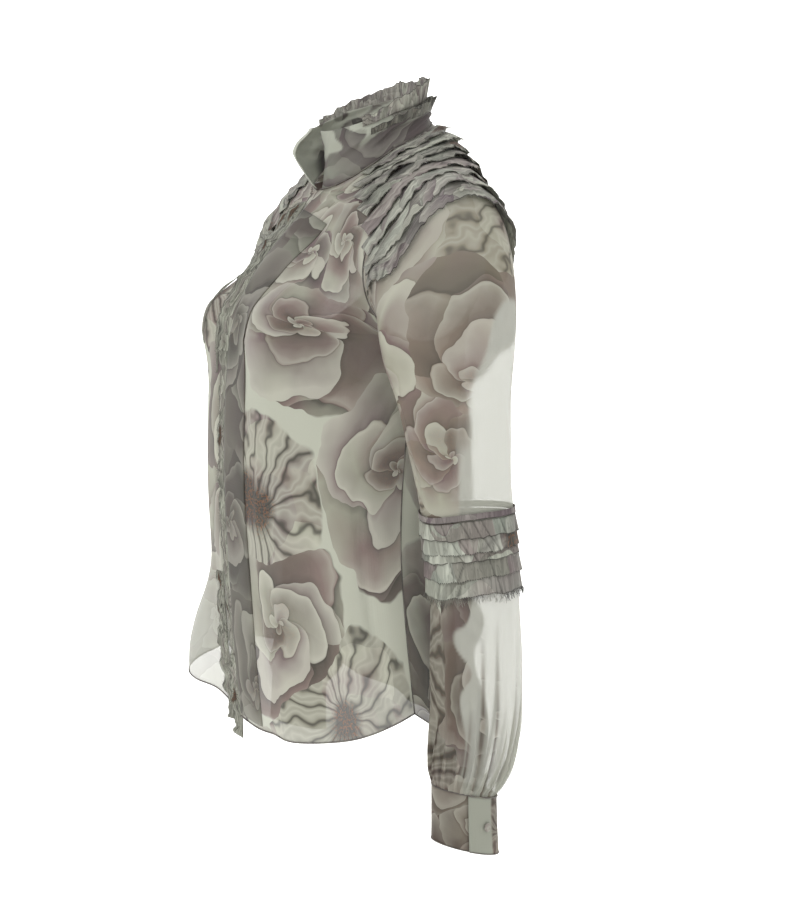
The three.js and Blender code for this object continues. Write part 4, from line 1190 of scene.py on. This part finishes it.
for side in ("left", "right"):
    turned = (lambda point: point) if side == "left" else mirrored
    middle_x = 190 if side == "left" else -190
    seed = 3.3 if side == "left" else 6.1
    upper_cloth = sheer_cloth(
        f"printed silk chiffon, {side} sleeve", seed, 125, SLEEVE_COLOURS, "c6c7ba", 0.88, 0.6, 0.8,
    )
    lower_cloth = sheer_cloth(
        f"printed silk chiffon, {side} lower sleeve", seed + 1.2, 115, LOWER_COLOURS, "c0c1b4", 0.9, 0.58, 0.7,
    )
    # Angles run from the underarm seam forward over the outside and back
    upper = make_cloth(
        f"upper_sleeve_{side}", f"sleeve_upper_{side}", upper_cloth, 120, 90,
        lambda u, v: turned(sleeve_form(ELBOW_SEAM * v, 180 + 360 * u)), (330, 400),
        height=lambda u, v: crease_height(SLEEVE_CREASES, u, v) * (1 - rise(v, 0.84, 0.88)) - 0.6,
        mark=lambda u, v: clear_of(u, v, UPPER_PLAIN), closed=True, inside=(middle_x, 10, -200),
    )
    lower = make_cloth(
        f"lower_sleeve_{side}", f"sleeve_lower_{side}", lower_cloth, 240, 70,
        lambda u, v: turned(sleeve_form(mix(ELBOW_SEAM, GATHERS["end"], v), 180 + 360 * u)), (330, 240),
        height=lambda u, v: gather_height((u + 0.5) % 1, v),
        mark=lambda u, v: max(clear_of(u, v, LOWER_PLAIN), fold_line(u, v)), closed=True,
        inside=(1.1 * middle_x, 18, -480),
    )


# Cuffs: deep bands of doubled chiffon, whose outer end laps over the inner one at the back of the wrist.
# The lapped end is plain pale cloth; the rest shows the print, and each edge has one row of topstitch.
CUFF = {"start": 594, "end": 652, "lap_edge": 13, "turn": 378, "rise": 2.2}


def cuff_spot(length, around):
    angle = CUFF["lap_edge"] - CUFF["turn"] * (1 - around)
    turned = (CUFF["lap_edge"] - angle) / CUFF["turn"]
    return sleeve_point(length, angle, CUFF["rise"] * (1 - turned) - 1)


CUFF_COLOURS = [
    (0.0, "63544c"), (0.3, "5d4f47"), (0.42, "6f6056"), (0.55, "564b44"), (0.7, "746c60"), (0.85, "64564e"),
    (1.0, "6d655b"),
]
for side in ("left", "right"):
    turned = (lambda point: point) if side == "left" else mirrored
    cuff_look = sheer_cloth(
        f"doubled silk chiffon, {side} cuff", 2.7 if side == "left" else 8.3, 78, CUFF_COLOURS, "9fa194",
        0.96, 0.96, 0.5,
    )
    cuff = make_cloth(
        f"cuff_band_{side}", f"cuff_{side}", cuff_look, 120, 20,
        lambda u, v: turned(cuff_spot(mix(CUFF["start"] + 0.3, CUFF["end"], v), u)), (205, 58),
        mark=lambda u, v: 1 - rise(u, 0.87, 0.885),
        height=lambda u, v: -0.15 + 0.25 * math.sin(u * 61 + 2 * math.sin(v * 5)) * (1 - v),
        inside=(226 if side == "left" else -226, 2, -672), wall=0.9,
    )

# Elbow strips: a narrow folded band, then five raw-edged strips sewn round the sleeve like shingles.
# Each is pleated here and there by hand; the last one ends in a brushed fringe of its own threads.
ELBOW_STRIPS = table("name start end root edge", [
    ("elbow_band", 309, 315.5, 1.7, 1.9),
    ("elbow_tier_1", 316.5, 333, 1.4, 3.6),
    ("elbow_tier_2", 329.5, 348, 1.6, 3.6),
    ("elbow_tier_3", 344.5, 356, 1.6, 3.4),
    ("elbow_tier_4", 352, 374, 1.5, 3.6),
    ("elbow_tier_5", 370, 391, 1.6, 3.4),
])
ELBOW_DIP = {"angle": 70, "wide": 42, "drop": 5}
ELBOW_COLOURS = [
    (0.0, "675e5c"), (0.24, "847876"), (0.34, "9ca296"), (0.46, "7d7170"), (0.6, "b8bcaf"), (0.7, "807f75"),
    (0.84, "837775"), (1.0, "a2a598"),
]
ELBOW_BAND_COLOURS = [(0.0, "5f5756"), (0.5, "6e6365"), (1.0, "7d7274")]
ELBOW_LOOKS = table("name seed along across dashes", [
    ("elbow_band", 2.2, 150, 300, 0.0),
    ("elbow_tier_1", 3.4, 150, 260, 0.0),
    ("elbow_tier_2", 5.1, 120, 260, 0.9),
    ("elbow_tier_3", 6.6, 170, 300, 0.0),
    ("elbow_tier_4", 7.9, 150, 260, 1.0),
    ("elbow_tier_5", 9.3, 160, 260, 0.7),
])
elbow_cloths = {
    look["name"]: strip_cloth(
        "raw-edged chiffon strip, " + look["name"].replace("_", " "), look["seed"],
        (look["along"], look["across"]), 0.6,
        ELBOW_BAND_COLOURS if look["name"] == "elbow_band" else ELBOW_COLOURS,
        0.97, (230.0, 34.0), 0.3, look["dashes"], 0.35,
    )
    for look in ELBOW_LOOKS
}
# Pleats laid by hand: at what angle each stands, how far it runs back, how proud it is and how it leans
ELBOW_PLEATS = table("tier at wide depth lean", [
    ("elbow_tier_1", 52, 26, 1.3, -7),
    ("elbow_tier_1", 27, 17, 1.5, -9),
    ("elbow_tier_1", 12, 12, 1.2, -7),
    ("elbow_tier_1", 2, 20, 1.4, -8),
    ("elbow_tier_1", -24, 22, 1.2, -6),
    ("elbow_tier_1", 118, 30, 1.3, 6),
    ("elbow_tier_1", 176, 24, 1.4, 5),
    ("elbow_tier_1", 236, 32, 1.2, -6),
    ("elbow_tier_1", 296, 20, 1.4, 8),
    ("elbow_tier_2", 44, 22, 1.5, -12),
    ("elbow_tier_2", 33, 9, 1.6, -12),
    ("elbow_tier_2", 4, 10, 1.3, -11),
    ("elbow_tier_2", -6, 9, 1.5, -12),
    ("elbow_tier_2", -15, 18, 1.6, 8),
    ("elbow_tier_2", 140, 28, 1.4, 8),
    ("elbow_tier_2", 205, 20, 1.5, -8),
    ("elbow_tier_2", 268, 26, 1.3, 6),
    ("elbow_tier_3", 38, 30, 1.3, -10),
    ("elbow_tier_3", 20, 12, 1.4, -9),
    ("elbow_tier_3", -8, 24, 1.2, 6),
    ("elbow_tier_3", 160, 36, 1.4, 6),
    ("elbow_tier_3", 250, 28, 1.2, -8),
    ("elbow_tier_4", 70, 24, 1.4, -5),
    ("elbow_tier_4", 46, 18, 1.5, -4),
    ("elbow_tier_4", 26, 12, 1.3, 12),
    ("elbow_tier_4", -2, 30, 1.1, -6),
    ("elbow_tier_4", 130, 26, 1.4, 6),
    ("elbow_tier_4", 190, 32, 1.2, 5),
    ("elbow_tier_4", 258, 26, 1.4, -7),
    ("elbow_tier_5", 62, 20, 1.3, 5),
    ("elbow_tier_5", 30, 26, 1.5, 10),
    ("elbow_tier_5", -10, 22, 1.2, -5),
    ("elbow_tier_5", 150, 30, 1.4, 6),
    ("elbow_tier_5", 230, 26, 1.2, -6),
])


def pleat_height(name, angle, share):
    """How far a tier's pleats stand out at a place, and how much painted shade darkens each pleat's folded
    side.
    """
    height, dark = 0.0, 0.0
    for pleat in ELBOW_PLEATS:
        if pleat["tier"] == name:
            back = (pleat["at"] + pleat["lean"] * share - angle + 180) % 360 - 180
            if -2 < back < pleat["wide"]:
                height += pleat["depth"] * rise(back, -2, 0) * (1 - max(back, 0) / pleat["wide"])
                dark = max(dark, bell(back + 1, 1.3))
    return height * share ** 0.3, 0.5 * dark


brush_stuff = mottled(
    "brushed-out silk warp", 60.0, 1.0,
    [(0.4, "4b4a45"), (0.52, "6c6a62"), (0.64, "8f8e83")], {"Roughness": 0.6},
)

dark_thread = mottled(
    "dark overcasting thread", 300.0, 2.0, [(0.3, "2f2e2b"), (0.7, "55534c")], {"Roughness": 0.55},
)


def elbow_spot(strip, share, angle):
    whole = angle % 360
    dip = ELBOW_DIP["drop"] * bell(whole - ELBOW_DIP["angle"], ELBOW_DIP["wide"])
    point, out = sleeve_cloth(mix(strip["start"], strip["end"], share) + dip, angle)
    wave = 0.0
    if strip["name"] != "elbow_band":
        seed = strip["start"]
        wave = 0.55 * math.sin(angle / 6.5 + seed) + 0.35 * math.sin(angle / 2.7 + 2 * seed)
        wave += 0.5 * math.sin(angle / 15 + 3 * seed) + pleat_height(strip["name"], angle, share)[0] - 0.4
    point += out * (mix(strip["root"], strip["edge"], share) + 0.1 + share * wave)
    point.z -= share * 0.6 * wave
    return point, out


for side in ("left", "right"):
    turned = (lambda point: point) if side == "left" else mirrored
    for strip in ELBOW_STRIPS:
        name = f"{strip['name']}_{side}"
        wide = strip["end"] - strip["start"]

        def strip_place(u, v, strip=strip):
            return turned(elbow_spot(strip, 1 - v, 180 + 360 * u)[0])

        def strip_edge(share, strip=strip):
            point, out = elbow_spot(strip, 1, 180 + 360 * share)
            root = elbow_spot(strip, 0.8, 180 + 360 * share)[0]
            return turned(point), turned(out), turned((point - root).normalized())

        ring = make_cloth(
            name + "_strip", name, elbow_cloths[strip["name"]], 240, 8,
            strip_place, (300, wide), closed=True,
            # mark is painted shade along each pleat's folded side
            mark=lambda u, v, strip=strip: 1 - pleat_height(strip["name"], 180 + 360 * u, 1 - v)[1],
            inside=(200 if side == "left" else -200, 20, -380), wall=0.4,
        )
        ends = []
        if strip["name"] == "elbow_tier_5":
            ends = [add_threads(name + "_fringe", strip_edge, 700, 9.5, 0.32, brush_stuff)]
        elif strip["name"] != "elbow_band":
            ends = [add_threads(name + "_threads", strip_edge, 150, 1.8, 0.18, dark_thread)]

# Shoulder strips: crescents of raw-edged chiffon, laid like shingles from the neck over the shoulder.
# Only the upper edge of each is sewn down; the free edge lifts, curls and frays, most of all behind.
SHOULDER_SEAM_LENGTH = 106.4
SHOULDER_TIERS = table("front back run", [
    (30, 40, 130),
    (45, 60, 200),
    (56, 74, 245),
    (65, 84, 285),
    (74, 92, 315),
    (84, 99, 350),
    (94, 105, 360),
    (106, 112, 365),
])
TIER = {"first": 7, "step": 15.3, "width": 21.5, "root": 2.1, "rise": 2.3, "back_rise": 5, "wave": 0.6}
TIER_SWEEP = {"angle": 62, "wide": 34, "step": 5.2}


def shoulder_point(length, angle):
    if length > SHOULDER_SEAM_LENGTH:
        return sleeve_point(length - SHOULDER_SEAM_LENGTH, angle)
    share = length / SHOULDER_SEAM_LENGTH
    return front_point(share, 2 - angle / 180) if angle >= 0 else back_point(share, 2 + angle / 180)


shoulder_cloth = surface(shoulder_point, -1, (0, 200), (-130, 130), 0.035)


def tier_spot(tier, index, around, share):
    angle = mix(-tier["back"], tier["front"], around)
    ends = math.sqrt(math.sin(math.pi * clamp(around, 0.06, 0.94)))
    sweep = TIER_SWEEP["step"] * (index + share) * bell(angle - TIER_SWEEP["angle"], TIER_SWEEP["wide"])
    length = TIER["first"] + TIER["step"] * index + share * TIER["width"] * mix(0.72, 1, ends) + sweep
    point, out = shoulder_cloth(length, angle)
    wave = math.sin(angle / 7 + index * 2.1) + 0.5 * math.sin(angle / 3.1 + index)
    wild = 1 if 0.05 < around < 0.95 else 0.4
    behind = TIER["back_rise"] * bell(angle + 60, 45)
    fine = 1.9 * noise.noise(Vector((angle / 5.5, share * 1.2, 3.7 * index)))
    curl = share ** 2 * 3.4 * noise.noise(Vector((angle / 11, 4.1 * index, 0.5 * share)))
    length_off = 3.4 * share * noise.noise(Vector((angle / 3.6, 9.3 * index, 0)))
    length_off += (2.5 + 3 * share) * noise.noise(Vector((angle / 14, 5.7 * index, 2.2)))
    point = shoulder_cloth(clamp(length + length_off, 0, 199), angle)[0]
    lift = TIER["root"] - 0.5 + share * (TIER["rise"] + behind + TIER["wave"] * wave * wild)
    point += out * (lift + share * fine + curl)
    return point, out


# How each strip was cut from the print: its seed, its flowers' size, its tint, and the painted shade in its
# creases
SHOULDER_LOOKS = table("seed along across tint lines", [
    (1.1, 90, 40, 0, 0.5),
    (2.7, 110, 46, 0, 0.5),
    (4.4, 100, 40, 0, 0.45),
    (5.8, 120, 50, 0, 0.45),
    (7.3, 200, 90, 3, 0.1),
    (8.9, 130, 40, 2, 0.3),
    (10.2, 120, 60, 2, 0.3),
    (11.6, 140, 60, 1, 0.35),
])
SHOULDER_TINTS = [
    [(0.0, "53534d"), (0.25, "7e7f73"), (0.45, "5c5a55"), (0.6, "9b9d90"), (0.75, "6c6463"), (1.0, "afb2a3")],
    [(0.0, "766d6d"), (0.3, "837876"), (0.5, "797171"), (0.7, "9a9c90"), (0.85, "7d7375"), (1.0, "acafa1")],
    [(0.0, "898b7f"), (0.25, "a1a598"), (0.45, "827677"), (0.65, "b2b5a8"), (0.85, "7b7671"), (1.0, "a2a396")],
    [(0.0, "796f6e"), (0.5, "837875"), (0.8, "8b817e"), (1.0, "9b928d")],
]
for side in ("left", "right"):
    turned = (lambda point: point) if side == "left" else mirrored
    for index, tier in enumerate(SHOULDER_TIERS):
        name = f"shoulder_tier_{index + 1}_{side}"
        cut = SHOULDER_LOOKS[index]
        look = strip_cloth(
            f"raw-edged chiffon strip, shoulder {index + 1} {side}",
            cut["seed"] + (0 if side == "left" else 13), (cut["along"], cut["across"]), 0.2,
            SHOULDER_TINTS[cut["tint"]], 0.97, (34.0, 380.0), cut["lines"],
        )

        def tier_place(u, v, tier=tier, index=index):
            return turned(tier_spot(tier, index, u, 1 - v)[0])

        def tier_edge(share, tier=tier, index=index):
            point, out = tier_spot(tier, index, share, 1)
            root = tier_spot(tier, index, share, 0.85)[0]
            return turned(point), turned(out), turned((point - root).normalized())

        strip = make_cloth(
            name + "_strip", name, look, 190, 9, tier_place, (tier["run"], TIER["width"]),
            wall=0.5, inside=(120 if side == "left" else -120, 5, -150),
        )
        ends = add_threads(name + "_threads", tier_edge, 170, 2.8, 0.22, thread_stuff, 2.4)


# Sewing: the side and armhole seams, the collar seam, and narrow rolled hems on the fronts and the back.
# Each shows as a thin dark line, since four layers of chiffon lie together there.
rolled_cloth = mottled(
    "chiffon rolled into a hem or a narrow seam", 45.0, 2.0,
    [(0.35, "5a5650"), (0.55, "7b7570"), (0.7, "8f8d80")], {"Roughness": 0.7, "Alpha": 0.85},
)


def add_line(name, points, thick):
    """A rolled edge or seam ridge along points in mm."""
    add_curve(name, [points], thick, 1, rolled_cloth)


steps = [i / 120 for i in range(121)]
add_line("rolled_hem_left_front", [left_place(share, 0.001) for share in steps], 1.6)
add_line("rolled_hem_right_front", [right_place(share, 0.001) for share in steps], 1.6)
add_line("rolled_hem_back", [back_place(share, 0.001) for share in steps], 1.6)
for side in ("left", "right"):
    turned = (lambda point: point) if side == "left" else mirrored
    front_panel = left_place if side == "left" else right_place
    add_line(f"side_seam_{side}", [front_panel(1, share * 0.5) for share in steps], 1.4)
    armhole = [turned(sleeve_point(0, 360 * share, 0.2)) for share in steps]
    add_line(f"armhole_seam_{side}", armhole, 1.5)
    add_line(f"cuff_seam_{side}", [turned(cuff_spot(594.4, share)) for share in steps], 1.2)
    add_line(f"cuff_edge_{side}", [turned(cuff_spot(651.6, share)) for share in steps], 1.1)
around_neck = [mix(COLLAR["start"], COLLAR["end"], share) for share in steps]
add_line("collar_seam", [collar_point(angle, 0.0) for angle in around_neck], 1.4)
